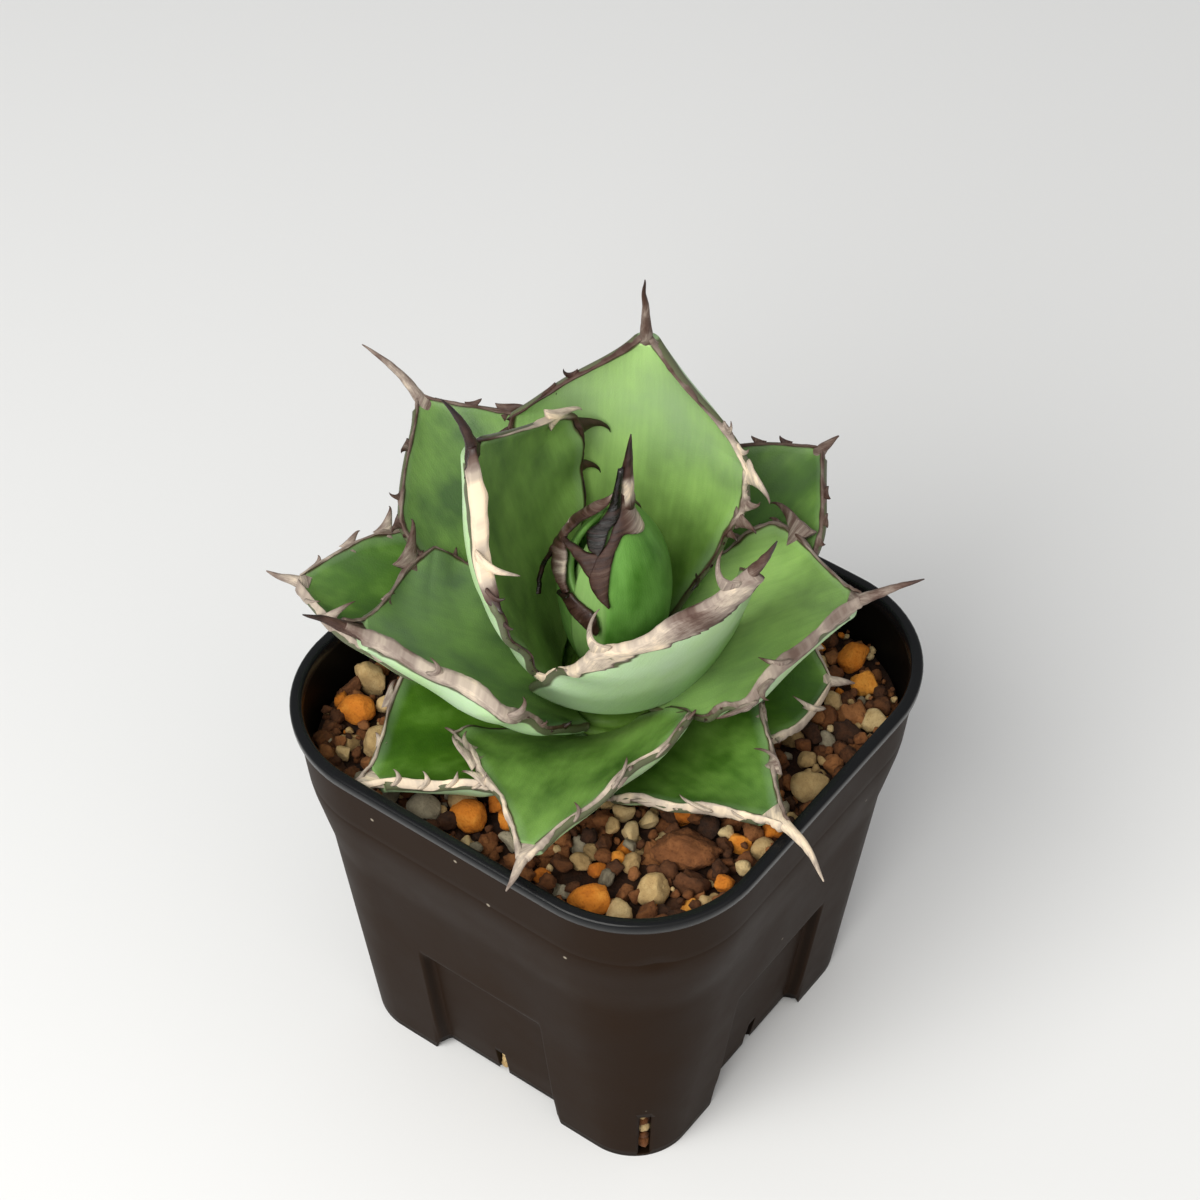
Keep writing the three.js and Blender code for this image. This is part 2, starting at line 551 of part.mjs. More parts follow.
// Width of the horny edge, narrower where it starts near the root.
function bandWidth(leaf, share, side) {
  const full = side > 0 ? leaf.bands.left : leaf.bands.right;
  return mix(BAND_ROOT, full, THREE.MathUtils.clamp((share - BAND_START) / BAND_GROWTH, 0, 1));
}

// How far along the blade reaches before its two horny edges meet.
function bladeEnd(leaf) {
  let share = 1;
  const band = Math.max(leaf.bands.left, leaf.bands.right);
  while (plainHalf(leaf, share) < band + CLEARANCE + 1) share -= 0.004;
  return share;
}

// A tooth stands on the nearest of the cross sections that the leaf is made of.
function toothShare(leaf, place) {
  const end = bladeEnd(leaf);
  return end * Math.min(Math.round(place / end * BLADE_ROWS), BLADE_ROWS - 1) / BLADE_ROWS;
}

// Half the width to the outer side of the horny edge, which swells out to each tooth.
function halfWidth(leaf, share, side) {
  let half = plainHalf(leaf, share);
  for (const [toothSide, place, out, , up] of leaf.teeth) {
    if (toothSide === side) {
      const lobe = LOBE_HEIGHT * Math.hypot(out, up);
      half += lobe * Math.exp(-(((share - toothShare(leaf, place)) / LOBE_LENGTH) ** 2));
    }
  }
  return half;
}

// A point of the leaf's upper face at a distance across from the midrib, with the normal there and
// the direction across.
function faceAt(leaf, share, across) {
  const rib = ribAt(leaf, share);
  const side = across < 0 ? -1 : 1;
  const half = halfWidth(leaf, share, side);
  const arc = radians(leaf.cup) * (0.75 + 0.25 * Math.min(share / 0.5, 1));
  const radius = half / arc;
  const angle = across / radius;
  const normal = rib.face.clone().multiplyScalar(Math.cos(angle)).addScaledVector(rib.left, -Math.sin(angle));
  const outward = rib.left.clone().multiplyScalar(Math.cos(angle)).addScaledVector(rib.face, Math.sin(angle));
  const edge = Math.min(Math.abs(across) / half, 1.1);
  const swell = Math.sin(Math.PI * Math.min(Math.max(share, 0), 1));
  const phase = radians(leaf.azimuth) + (side > 0 ? 0 : 2);
  const wave = WAVE_HEIGHT * swell * edge ** 3 * Math.sin(2 * Math.PI * WAVE_COUNT * share + phase);
  const point = rib.point.clone()
    .addScaledVector(rib.left, radius * Math.sin(angle))
    .addScaledVector(rib.face, radius * (1 - Math.cos(angle)))
    .addScaledVector(normal, wave);
  return { point, normal, outward, forward: rib.forward };
}

function thickness(leaf, share, across, half) {
  const middle = mix(ROOT_THICKNESS, TIP_THICKNESS, THREE.MathUtils.clamp(share, 0, 1));
  const edge = Math.min(Math.abs(across) / half, 1);
  return mix(middle, EDGE_THICKNESS, edge * edge);
}

function makeBlade(leaf, grow) {
  const top = [];
  const bottom = [];
  const start = -grow / leaf.length;
  const end = bladeEnd(leaf) + grow / leaf.length;
  for (let i = 0; i <= BLADE_ROWS; i += 1) {
    const share = mix(start, end, i / BLADE_ROWS);
    const over = [];
    const under = [];
    for (let j = 0; j <= BLADE_COLUMNS; j += 1) {
      const u = 1 - 2 * j / BLADE_COLUMNS;
      const half = halfWidth(leaf, share, u < 0 ? -1 : 1);
      const across = u * (half - bandWidth(leaf, share, u < 0 ? -1 : 1) - CLEARANCE + grow);
      const { point, normal } = faceAt(leaf, share, across);
      over.push(point.clone().addScaledVector(normal, grow));
      under.push(point.clone().addScaledVector(normal, -thickness(leaf, share, across, half) - grow));
    }
    top.push(over);
    bottom.push(under);
  }
  return sheet(top, bottom);
}

function makeBand(leaf, side, grow) {
  const top = [];
  const bottom = [];
  const end = bladeEnd(leaf);
  for (let i = 0; i <= BLADE_ROWS + 1; i += 1) {
    const share = i > BLADE_ROWS ? 1 : mix(0, end, i / BLADE_ROWS);
    if (share >= BAND_START) {
      const half = halfWidth(leaf, share, side);
      const over = [];
      const under = [];
      for (const across of [Math.max(half - bandWidth(leaf, share, side) - grow, 0), half + grow]) {
        const { point, normal } = faceAt(leaf, share, across * side);
        over.push(point.clone().addScaledVector(normal, BAND_PROUD + grow));
        under.push(point.clone().addScaledVector(normal, -EDGE_THICKNESS - BAND_PROUD - grow));
      }
      top.push(over);
      bottom.push(under);
    }
  }
  return sheet(top, bottom);
}

// A tapered horn through points, with an oval section. across and upright are its two half sizes.
function horn(points, across, upright, side, sides) {
  const rings = points.slice(0, -1).map((point, i) => {
    const next = points[i + 1];
    const forward = next.clone().sub(points[Math.max(i - 1, 0)]).normalize();
    const a = side.clone().addScaledVector(forward, -side.dot(forward)).normalize();
    const b = new THREE.Vector3().crossVectors(forward, a);
    const ring = [];
    for (let k = 0; k < sides; k += 1) {
      const angle = 2 * Math.PI * k / sides;
      ring.push(point.clone()
        .addScaledVector(a, across[i] * Math.cos(angle))
        .addScaledVector(b, upright[i] * Math.sin(angle)));
    }
    return ring;
  });
  rings.push([points[points.length - 1]]);
  return loft(rings);
}

function makeSpine(leaf, grow) {
  const start = bladeEnd(leaf) + EDGE_THICKNESS / 3 / leaf.length;
  const points = [];
  const across = [];
  const upright = [];
  for (let i = 0; i < 2; i += 1) {
    const share = mix(start, 1, i / 2);
    const half = Math.min(halfWidth(leaf, share, 1), halfWidth(leaf, share, -1));
    const { point, normal } = faceAt(leaf, share, 0);
    points.push(point.addScaledVector(normal, -0.5 * EDGE_THICKNESS));
    across.push(half + SPINE_POINT + grow);
    upright.push(SPINE_RADIUS + grow);
  }
  const rib = ribAt(leaf, 1);
  const point = rib.point.clone().addScaledVector(rib.face, -0.5 * EDGE_THICKNESS);
  points.push(point.clone());
  across.push(SPINE_RADIUS + grow);
  upright.push(SPINE_RADIUS + grow);
  for (let i = 1; i <= SPINE_STEPS; i += 1) {
    const t = (i - 0.5) / SPINE_STEPS;
    const lean = radians(leaf.lean[1] + leaf.spine.lean * t);
    const azimuth = radians(leaf.azimuth + leaf.turn + leaf.spine.turn * t);
    const step = new THREE.Vector3(Math.sin(lean) * Math.cos(azimuth), Math.sin(lean) * Math.sin(azimuth), Math.cos(lean));
    point.addScaledVector(step, (leaf.spine.length + grow) / SPINE_STEPS);
    points.push(point.clone());
    across.push(mix(SPINE_RADIUS, SPINE_POINT, i / SPINE_STEPS) + grow);
    upright.push(mix(SPINE_RADIUS, SPINE_POINT, i / SPINE_STEPS) + grow);
  }
  return horn(points, across, upright, rib.left, SPINE_SIDES);
}

function makeTooth(leaf, [side, place, out, ahead, up], grow) {
  const share = toothShare(leaf, place);
  const { point, normal, outward, forward } = faceAt(leaf, share, side * halfWidth(leaf, share, side));
  const away = outward.clone().multiplyScalar(side);
  const root = point.clone().addScaledVector(normal, -EDGE_THICKNESS / 2).addScaledVector(away, -TOOTH_SINK);
  const length = Math.hypot(out, ahead, up);
  const tip = root.clone().addScaledVector(away, out + TOOTH_SINK)
    .addScaledVector(forward, ahead).addScaledVector(normal, up);
  const middle = root.clone().addScaledVector(away, TOOTH_SINK + TOOTH_STRAIGHT * length)
    .addScaledVector(forward, TOOTH_HOOK * ahead).addScaledVector(normal, TOOTH_HOOK * up);
  const radius = TOOTH_RADIUS * (TOOTH_SIZE[0] + TOOTH_SIZE[1] * length) + grow;
  tip.addScaledVector(tip.clone().sub(middle).normalize(), grow);
  const across = [TOOTH_ROOT[0] * radius, TOOTH_MIDDLE[0] * radius];
  const upright = [TOOTH_ROOT[1] * radius, TOOTH_MIDDLE[1] * radius];
  return horn([root, middle, tip], across, upright, forward, TOOTH_SIDES);
}

function makeMargin(leaf, grow) {
  const parts = [makeBand(leaf, 1, grow), makeBand(leaf, -1, grow), makeSpine(leaf, grow)];
  for (const tooth of leaf.teeth) parts.push(makeTooth(leaf, tooth, grow));
  return fuse(parts);
}

// Bud

function budAxis(z) {
  const last = BUD_PROFILE[BUD_PROFILE.length - 1][0];
  const t = (z - BUD_PROFILE[0][0]) / (last - BUD_PROFILE[0][0]);
  return new THREE.Vector3(BUD_LEAN[0] * t * t, BUD_LEAN[1] * t * t, z);
}

function budRadius(z) {
  const i = Math.max(BUD_PROFILE.findIndex(([height]) => height >= z), 1);
  const [low, near] = BUD_PROFILE[i - 1];
  const [high, far] = BUD_PROFILE[i];
  return mix(near, far, (z - low) / (high - low));
}

function budPoint(z, radius, degrees) {
  const angle = radians(degrees);
  return budAxis(z).add(new THREE.Vector3(radius * Math.cos(angle), radius * Math.sin(angle), 0));
}

function makeHeart(grow) {
  const rings = [];
  for (const [z, radius] of BUD_PROFILE) {
    if (z < HEART_TOP) {
      const core = radius - HEART_DEPTH + grow;
      rings.push(Array.from({ length: HEART_SIDES }, (_, k) => budPoint(z, core, 360 / HEART_SIDES * k)));
    }
  }
  rings.push([budAxis(HEART_TIP + grow)]);
  return loft(rings);
}

// A strip of a bud leaf's shell between two edges, given in degrees as functions of the share of its
// height and of its radius.
function budSheet(leaf, from, to, columns, proud, grow) {
  const outer = [];
  const inner = [];
  for (let i = 0; i <= BUD_ROWS; i += 1) {
    const share = i / BUD_ROWS;
    const z = mix(leaf.bottom, leaf.top, share);
    const radius = Math.max(budRadius(z) - leaf.depth, BUD_SHELL);
    const shell = BUD_SHELL * mix(1, 0.7, share);
    const out = [];
    const back = [];
    for (let j = 0; j <= columns; j += 1) {
      const angle = mix(from(share, radius), to(share, radius), j / columns);
      out.push(budPoint(z, radius + proud + grow, angle));
      back.push(budPoint(z, Math.max(radius - shell - grow, 0.3), angle));
    }
    outer.push(out);
    inner.push(back);
  }
  return sheet(outer, inner);
}

function degreesOf(distance, radius) {
  return THREE.MathUtils.radToDeg(distance / radius);
}

// The angle at a distance in from one edge of a bud leaf. Side 1 is its left.
function budEdge(leaf, side, inset) {
  const edge = side > 0 ? leaf.edges.left : leaf.edges.right;
  return (share, radius) => leaf.azimuth + side * (along(edge, share) - degreesOf(inset(share), radius));
}

function budBand(leaf, side, share) {
  return along(side > 0 ? leaf.bands.left : leaf.bands.right, share);
}

function makeBudBlade(leaf, grow) {
  const inside = (side) => budEdge(leaf, side, (share) => budBand(leaf, side, share) + CLEARANCE - grow);
  return budSheet(leaf, inside(-1), inside(1), BUD_COLUMNS, 0, grow);
}

function makeBudMargin(leaf, grow) {
  const strips = [-1, 1].map((side) => {
    const edge = budEdge(leaf, side, () => 0);
    const near = budEdge(leaf, side, (share) => budBand(leaf, side, share) + grow);
    return budSheet(leaf, side < 0 ? edge : near, side < 0 ? near : edge, 2, BAND_PROUD, grow);
  });
  const { length, radius } = leaf.spine;
  const size = [];
  const points = [];
  const reach = Math.max(budRadius(leaf.top) - leaf.depth, BUD_SHELL) - BUD_SHELL / 2;
  const foot = budPoint(leaf.top, reach, leaf.azimuth).sub(budAxis(leaf.top));
  for (let i = 0; i <= SPINE_STEPS; i += 1) {
    const z = mix(leaf.top - BUD_SHELL, leaf.top + length, i / SPINE_STEPS);
    points.push(budAxis(z).add(foot));
    size.push(mix(radius, SPINE_POINT, i / SPINE_STEPS) + grow);
  }
  strips.push(horn(points, size, size, new THREE.Vector3(1, 0, 0), SPINE_SIDES));
  return fuse(strips);
}

// Assembly

const plant = new THREE.Group();

function add(name, body, colour, roughness) {
  const material = new THREE.MeshStandardMaterial({ color: colour, roughness, metalness: 0 });
  const mesh = new THREE.Mesh(geometryOf(body.translate([AXIS_X, AXIS_Y, 0])), material);
  mesh.name = name;
  plant.add(mesh);
}

// Pieces that later ones are cut clear of, each grown by the clearance.
const potWall = loft([potRing(BODY_Z, -CLEARANCE), potRing(COLLAR_Z, -CLEARANCE),
  potRing(POT_HEIGHT + CLEARANCE, -CLEARANCE - LIP_OUT)])
  .subtract(loft([potRing(BODY_Z - 1, WALL + CLEARANCE), potRing(POT_HEIGHT + 1, WALL + CLEARANCE)]));
const inner = [makeStem(CLEARANCE), makeHeart(CLEARANCE)];

function clear(body, others) {
  const box = body.boundingBox();
  let rest = body;
  for (const other of others) {
    const { min, max } = other.boundingBox();
    const apart = [0, 1, 2].some((k) => min[k] > box.max[k] || max[k] < box.min[k]);
    if (!apart) rest = rest.subtract(other);
  }
  return main(rest);
}

add('pot', makePot(), POT_BLACK, 0.5);
add('stem', makeStem(0), '#8a8a5a', 0.8);
add('bud_heart', makeHeart(0), YOUNG_GREEN, 0.6);
for (const leaf of BUD_LEAVES) {
  add(`${leaf.name}_blade`, clear(makeBudBlade(leaf, 0), [...inner, makeBudMargin(leaf, CLEARANCE)]), BUD_GREEN, 0.55);
  add(`${leaf.name}_margin`, clear(makeBudMargin(leaf, 0), inner), leaf.horn, 0.7);
  inner.push(makeBudBlade(leaf, CLEARANCE), makeBudMargin(leaf, CLEARANCE));
}
for (const leaf of LEAVES) {
  add(`${leaf.name}_blade`, clear(makeBlade(leaf, 0), [...inner, potWall]), GREEN, 0.5);
  add(`${leaf.name}_margin`, clear(makeMargin(leaf, 0), [...inner, potWall]), leaf.horn, 0.75);
  inner.push(makeBlade(leaf, CLEARANCE), makeMargin(leaf, CLEARANCE));
}
makeStones(0).forEach((body, i) => add(STONES[i][0], clear(body, inner), STONES[i][1], 0.9));
add('soil', clear(makeSoil(), [...inner, ...makeStones(CLEARANCE)]), '#4a2f22', 0.95);

export default plant;
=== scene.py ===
# A potted agave titanota in a square plastic nursery pot, with its gritty soil.
#
# Shapes are worked out in millimetres about the pot's axis and moved to the frame, in metres, as each
# piece is made. The leaves, the bud and the pot follow the same formulas as the solids that they
# replace, with finer steps and the detail that those leave out.

import math
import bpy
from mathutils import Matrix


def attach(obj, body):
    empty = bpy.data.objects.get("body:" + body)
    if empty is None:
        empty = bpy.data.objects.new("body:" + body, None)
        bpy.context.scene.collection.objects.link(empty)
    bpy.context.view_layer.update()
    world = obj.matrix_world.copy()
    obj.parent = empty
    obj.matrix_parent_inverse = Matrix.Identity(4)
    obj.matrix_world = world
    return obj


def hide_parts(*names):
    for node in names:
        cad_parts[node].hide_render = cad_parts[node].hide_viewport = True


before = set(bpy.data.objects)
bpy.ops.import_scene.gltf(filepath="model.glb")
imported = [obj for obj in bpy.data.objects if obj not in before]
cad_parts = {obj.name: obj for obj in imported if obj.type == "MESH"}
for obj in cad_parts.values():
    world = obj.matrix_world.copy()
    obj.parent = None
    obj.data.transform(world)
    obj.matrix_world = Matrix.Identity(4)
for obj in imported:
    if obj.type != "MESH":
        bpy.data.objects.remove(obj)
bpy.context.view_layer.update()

from types import SimpleNamespace

import bmesh
import bpy
import numpy as np
from mathutils import Matrix, Vector

MM = 0.001
AXIS = np.array([4.5, 1.2, 0.0])
BODY = "root"

# Pot, with heights as _Z, half widths as _HALF and corner radii as _RADIUS
POT_HEIGHT = 94
RIM_HALF = 52.5
RIM_RADIUS = 27.3
LIP_HEIGHT = 2.4
LIP_OUT = 0.9
LIP_ROUND = 0.9
LIP_INNER_ROUND = 0.7
COLLAR_Z = 70
COLLAR_HALF = 49.6
COLLAR_RADIUS = 25.5
BODY_Z = 66
BODY_HALF = 47.4
BODY_RADIUS = 23.4
FOOT_HALF = 38.8
FOOT_RADIUS = 12.9
FOOT_ROUND = 0.8
WALL = 1.6
FOOT_FLOOR = 1.6
UNDERSIDE_Z = 2.6
PANEL_HALF = 16
PANEL_DRAFT = 1.5
PANEL_DEPTH = 2.4
PANEL_ROOF_Z = 42
PANEL_ROOF_DROP = 6
PANEL_MOUTH = 4
PANEL_SOFT = 2.2
SLIT_WIDTH = 2.4
SLIT_REACH = 60
# The slits of each quarter: [direction in degrees, where the cut starts, lowest and highest place]
SLITS = [[45, 34, 1, 16.5], [0, 26, 2.5, 10.5]]
MOULD_LINE_Z = 79
MOULD_LINE_DEPTH = 0.04
DENT_DEPTH = 0.5
DENT_LENGTH = 2.4
DENT_HEIGHT = 1.3
STEP_SOFT = 7
CORNER_STEPS = 22

# Soil
SOIL_Z = 82
SOIL_SEED = 7

# Stem and bud. Profiles are [height, share of the radius] for the stem and [height, radius] for the bud.
STEM_RADIUS = 8.5
STEM_PROFILE = [[66, 0.7], [71, 1], [94, 1], [100, 0.72]]
BUD_LEAN = 0.8
BUD_PROFILE = [
    [101, 8], [108, 10.6], [115, 11.9], [121, 12.2], [126, 11.3], [131, 9.7], [135, 7.6], [139, 5],
    [143, 2.7],
]
BUD_SHELL = 1.5
HEART_DEPTH = 5.2
HEART_TOP = 133
HEART_TIP = 140

# Leaves
ROOT_RADIUS = 9
RIB_STEPS = 12
EDGE_THICKNESS = 1.5
ROOT_THICKNESS = 6.5
TIP_THICKNESS = 3
ROOT_CUP = 0.75
TIP_BLUNT = 0.04
CLEARANCE = 0.3
GREEN_END_HALF = 1
LEAST_RIM = 0.15
BAND_START = 0.16
WAVE_COUNT = 4
WAVE_HEIGHT = 0.7
LOBE_LENGTH = 0.055
LOBE_HEIGHT = 0.12
SPINE_RADIUS = 1.2
SPINE_POINT = 0.12
TOOTH_RADIUS = 0.85
TOOTH_SINK = 1.2
LAST_TOOTH = 0.95

# Each leaf, from the innermost to the lowest. Angles are in degrees: azimuth is the direction in
# which it grows, lean is its tilt from upright at the root and at the tip, turn is how far it
# swings round on the way, roll tips it about its midrib, cup is half the arc of its channel.
# rise is the height of its root, widest the share of its length where it has its full width, root
# the share of that width at its root, and point how slender its tip is, from 0 to 1. bands is the
# width of the horn by the tip, which sets where the green ends, and spine is [length, lean, turn].
# A tooth is [side, place along the edge, out, along, up], side 1 being the left seen from above.
# Lists with two entries are for the left and the right side, and inner lists run from root to tip:
# rims is how far the horn reaches in over the face, crest how high it stands over it and under how
# much of that width it has on the back. pale and wax are the shares of young, pale green and of
# blue-grey bloom in the face. horn is the horn's colour on each side, then at the spine's root and
# point: 0 is cream, 0.5 grey-brown and 1 dark red-brown.
LEAVES = [
    dict(
        name="leaf_01", azimuth=208.5, rise=99.5, length=56.5, lean=[20, 13], turn=-2.5, roll=[0, -9.5],
        width=55, widest=0.69, root=0.4, cup=35, point=0.57, bands=[3.4, 1.5], spine=[12, 27, 8],
        rims=[[0.2, 0.2, 0.2, 0.2, 0.2, 0.2, 0.25, 0.5, 1.8, 2, 0.8],
              [0.2, 0.2, 0.2, 0.2, 0.2, 0.2, 0.25, 1.2, 0.8, 0.5, 0.6]],
        crest=[1.4, 0.2], under=[0.6, 0.5], pale=[0.5, 0.42, 0.3, 0.2, 0.18], wax=[0, 0.02, 0.05, 0.08],
        horn=[[1, 1, 1, 1, 1, 1, 1, 1, 1, 0.95, 0.9, 0.08, 0.02, 0.08, 0.9],
              [1, 1, 1, 1, 1, 0.95, 0.95, 0.12, 0.3, 1], [1, 1]],
        teeth=[[1, 0.8, 4, -2.5, 5.8], [1, 0.73, 2, 0, 2.4], [1, 0.63, 2.3, 0, 1.3],
               [-1, 0.79, 6.5, -2, 0.5], [-1, 0.64, 5.5, -4.7, 1.1], [-1, 0.47, 3.3, -3.9, 0.9]],
    ),
    dict(
        name="leaf_02", azimuth=339, rise=101.5, length=60.5, lean=[30.5, 28], turn=23, roll=[-12, -1],
        width=41.5, widest=0.41, root=1, cup=27.5, point=0.68, bands=[1.6, 3.6], spine=[10, -8, 24],
        rims=[[0.2, 0.3],
              [0.2, 0.2, 0.2, 0.3, 1.7, 3.2, 2.7, 4.6, 6.2, 3.2, 1]],
        crest=[0, 0.3], under=[0.5, 1], pale=[0.3, 0.3], wax=[0.15, 0.15],
        horn=[[0.9, 0.9, 0.8, 0.7, 0.7, 0.8],
              [0.1, 0.08, 0.1, 0.12, 0.15, 0.15, 0.2, 0.6, 0.3, 0.4], [0.6, 0.9]],
        teeth=[[-1, 0.51, 1.2, 4.3, 6.5], [-1, 0.93, 1.2, 3.6, 5.9], [-1, 0.17, 4.8, 1.8, 3.3],
               [1, 0.3, 2, 0, 0], [1, 0.5, 2, 0.5, 0]],
    ),
    dict(
        name="leaf_03", azimuth=113.5, rise=100.5, length=62.5, lean=[47, -7], turn=-3.5, roll=[-10.5, -1],
        width=51.5, widest=0.67, root=0.4, cup=41, point=0.66, bands=[1.5, 1.6], spine=[16, -1.5, -1.5],
        rims=[[0.2, 0.2, 0.25, 0.3, 0.35, 0.4, 0.5, 0.65, 0.7, 0.7, 0.7],
              [0.2, 0.2, 0.25, 0.3, 0.4, 0.5, 0.7, 0.8, 0.7, 0.7, 0.7]],
        crest=[0, 0], under=[2.4, 2.4], pale=[0.05, 0.2, 0.42, 0.6, 0.85], wax=[0, 0, 0.06, 0.28, 0.22],
        horn=[[1, 1, 0.9, 0.9, 0.8, 0.8, 0.7], [1, 1, 0.8, 0.6, 0.25, 0.15, 0.6, 0.6], [0.4, 0.8]],
        teeth=[[-1, 0.77, 1, 3, 0], [-1, 0.72, 1.7, 1.7, -0.5], [-1, 0.66, 7.5, -1.7, 0],
               [-1, 0.52, 3.8, 2, -0.5], [-1, 0.46, 6, -0.2, -0.3], [-1, 0.4, 3.1, -0.6, 0],
               [-1, 0.19, 0.8, -1.8, 2.3], [1, 0.83, 1.5, 1.9, -0.4], [1, 0.78, 2, -1.3, 0.2],
               [1, 0.6, 3, -1, 0], [1, 0.45, 3, 0, 0]],
    ),
    dict(
        name="leaf_04", azimuth=233.5, rise=93, length=52.5, lean=[57, 50.5], turn=-3.5, roll=[-3.5, 10],
        width=50, widest=0.57, root=0.48, cup=42, point=0.95, bands=[3, 1.4], spine=[9, 10, 0],
        rims=[[0.2, 0.3, 0.3, 0.4, 0.6, 0.9, 1.2, 1.6, 1.6, 1, 0.5],
              [0.2, 0.2, 0.2, 0.2, 0.25, 0.3, 0.5, 0.6, 0.6, 0.6, 0.8]],
        crest=[1.2, 0.1], under=[0.7, 0.6], pale=[0.15, 0.15, 0.1, 0.12], wax=[0, 0.1, 0.2, 0.18],
        horn=[[0.9, 0.9, 0.55, 0.35, 0.3, 0.38, 0.6], [0.9, 0.8, 0.7, 0.6, 0.55, 0.5, 0.6], [0.75, 0.9]],
        teeth=[[-1, 0.67, 9.3, 0.5, 0], [-1, 0.79, 1, -1.5, 0.2], [-1, 0.45, 2, 0, 0],
               [1, 0.73, 1, 2.9, 2.5], [1, 0.5, 5.3, 1.8, 3.7], [1, 0.33, 1.5, 0, 1.5],
               [1, 0.18, 1, -0.5, 2]],
    ),
    dict(
        name="leaf_05", azimuth=32, rise=94.5, length=48.5, lean=[53.5, 54], turn=-7, roll=[8, -3.5],
        width=48, widest=0.61, root=0.34, cup=30, point=0.72, bands=[1.4, 3], spine=[13.5, 4.5, 2.5],
        rims=[[0.2, 0.3, 0.3, 0.4, 0.5, 0.6, 0.6, 0.6, 0.6, 0.6, 0.7],
              [0.2, 0.3, 0.3, 0.4, 0.5, 0.7, 0.9, 1.1, 1.2, 1, 0.6]],
        crest=[0.1, 0.8], under=[0.6, 0.7], pale=[0.55, 0.55, 0.45, 0.32], wax=[0.1, 0.1, 0.05, 0.08],
        horn=[[0.8, 0.7, 0.6, 0.5, 0.5, 0.5, 0.5], [0.9, 0.9, 0.7, 0.45, 0.4, 0.45, 0.45], [0.4, 0.7]],
        teeth=[[1, 0.71, 8.6, -4.2, 0.7], [1, 0.62, 1.5, -1.6, 0.2], [1, 0.45, 1.8, -1.9, 0.3],
               [-1, 0.74, 0.8, -3.4, 3], [-1, 0.67, 4.7, 2, -2.2], [-1, 0.59, 5.9, -3.2, 1.1]],
    ),
    dict(
        name="leaf_06", azimuth=165.5, rise=92.8, length=60.5, lean=[52, 60.5], turn=0.5, roll=[-12, -5],
        width=40.5, widest=0.66, root=0.4, cup=34, point=0.62, bands=[1.6, 1.5], spine=[16, 16, 23],
        rims=[[0.2, 0.3, 0.4, 0.6, 0.6, 0.6],
              [0.2, 0.3, 0.4, 0.6, 0.6, 0.6]],
        crest=[0, 0], under=[0.8, 0.8], pale=[0.05, 0.1, 0.14, 0.14], wax=[0, 0.04, 0.08, 0.08],
        horn=[[0.9, 0.8, 0.7, 0.6, 0.6, 0.6], [0.9, 0.9, 0.8, 0.8, 0.7, 0.6], [0.4, 0.35]],
        teeth=[[-1, 0.88, 2.2, 0, 0], [-1, 0.81, 4.2, -2.1, 0], [-1, 0.62, 3, 0.5, 0],
               [1, 0.87, 3, -0.6, 0], [1, 0.73, 2, 1.7, 0], [1, 0.66, 3.4, -1.1, 0]],
    ),
    dict(
        name="leaf_07", azimuth=293, rise=87, length=48, lean=[50.5, 95.5], turn=-9.5, roll=[19, 13],
        width=49, widest=0.37, root=0.4, cup=36, point=0.69, bands=[1.8, 1.9], spine=[7.5, 3, -2.5],
        rims=[[0.2, 0.3, 0.4, 0.5, 0.6, 0.6, 0.8],
              [0.2, 0.3, 0.4, 0.5, 0.7, 0.8, 0.8]],
        crest=[0, 0.1], under=[0.8, 0.8], pale=[0.4, 0.2, 0.14, 0.1], wax=[0, 0, 0.02, 0.05],
        horn=[[0.8, 0.7, 0.5, 0.3, 0.3, 0.3, 0.25], [0.8, 0.7, 0.4, 0.3, 0.2, 0.2, 0.2], [0.2, 0.3]],
        teeth=[[-1, 0.66, 4.2, 1, 0], [-1, 0.58, 6, -2.3, 0.6], [-1, 0.52, 2.2, -3.1, 0.9],
               [-1, 0.35, 2.5, 0, 0], [1, 0.65, 2.9, -3, 1.9], [1, 0.5, 2.4, 0, 0],
               [1, 0.79, 0.8, -0.4, 2.5], [1, 0.36, 2.5, 0, 0.5]],
    ),
    dict(
        name="leaf_08", azimuth=77.5, rise=90, length=56, lean=[48, 58.5], turn=-5, roll=[14, 6],
        width=41, widest=0.59, root=0.4, cup=36, point=0.23, bands=[1.5, 1.5], spine=[4.5, 9, -11],
        rims=[[0.2, 0.3, 0.5, 0.6, 0.7, 0.8],
              [0.2, 0.3, 0.5, 0.7, 0.8, 0.8]],
        crest=[0, 0], under=[0.8, 0.8], pale=[0, 0, 0, 0], wax=[0.04, 0.05, 0.06, 0.06],
        horn=[[0.9, 0.8, 0.7, 0.7, 0.7, 0.7], [0.8, 0.7, 0.6, 0.6, 0.6, 0.6], [0.6, 0.6]],
        teeth=[[1, 0.87, 1.9, 0, 0], [1, 0.93, 1.6, 0.4, 0], [1, 0.7, 3, 0, 0], [-1, 0.89, 2.9, 0, 0],
               [-1, 0.82, 2.5, -0.6, 0], [-1, 0.75, 1.5, 0.5, 0], [-1, 0.4, 1.5, 0, 0]],
    ),
    dict(
        name="leaf_09", azimuth=206.5, rise=90, length=56.5, lean=[61.5, 77.5], turn=-1.5, roll=[0, -1.5],
        width=39, widest=0.59, root=0.4, cup=41, point=0.12, bands=[1.8, 1.5], spine=[6.5, -1.5, -2],
        rims=[[0.2, 0.3, 0.4, 0.5, 0.7, 0.8, 0.9, 0.9],
              [0.2, 0.3, 0.4, 0.5, 0.6, 0.6, 0.6, 0.6]],
        crest=[0.3, 0], under=[0.8, 0.8], pale=[0, 0, 0, 0.06], wax=[0, 0, 0.02, 0.06],
        horn=[[0.8, 0.7, 0.4, 0.3, 0.3, 0.3], [0.9, 0.8, 0.6, 0.5, 0.4, 0.4], [0.35, 0.3]],
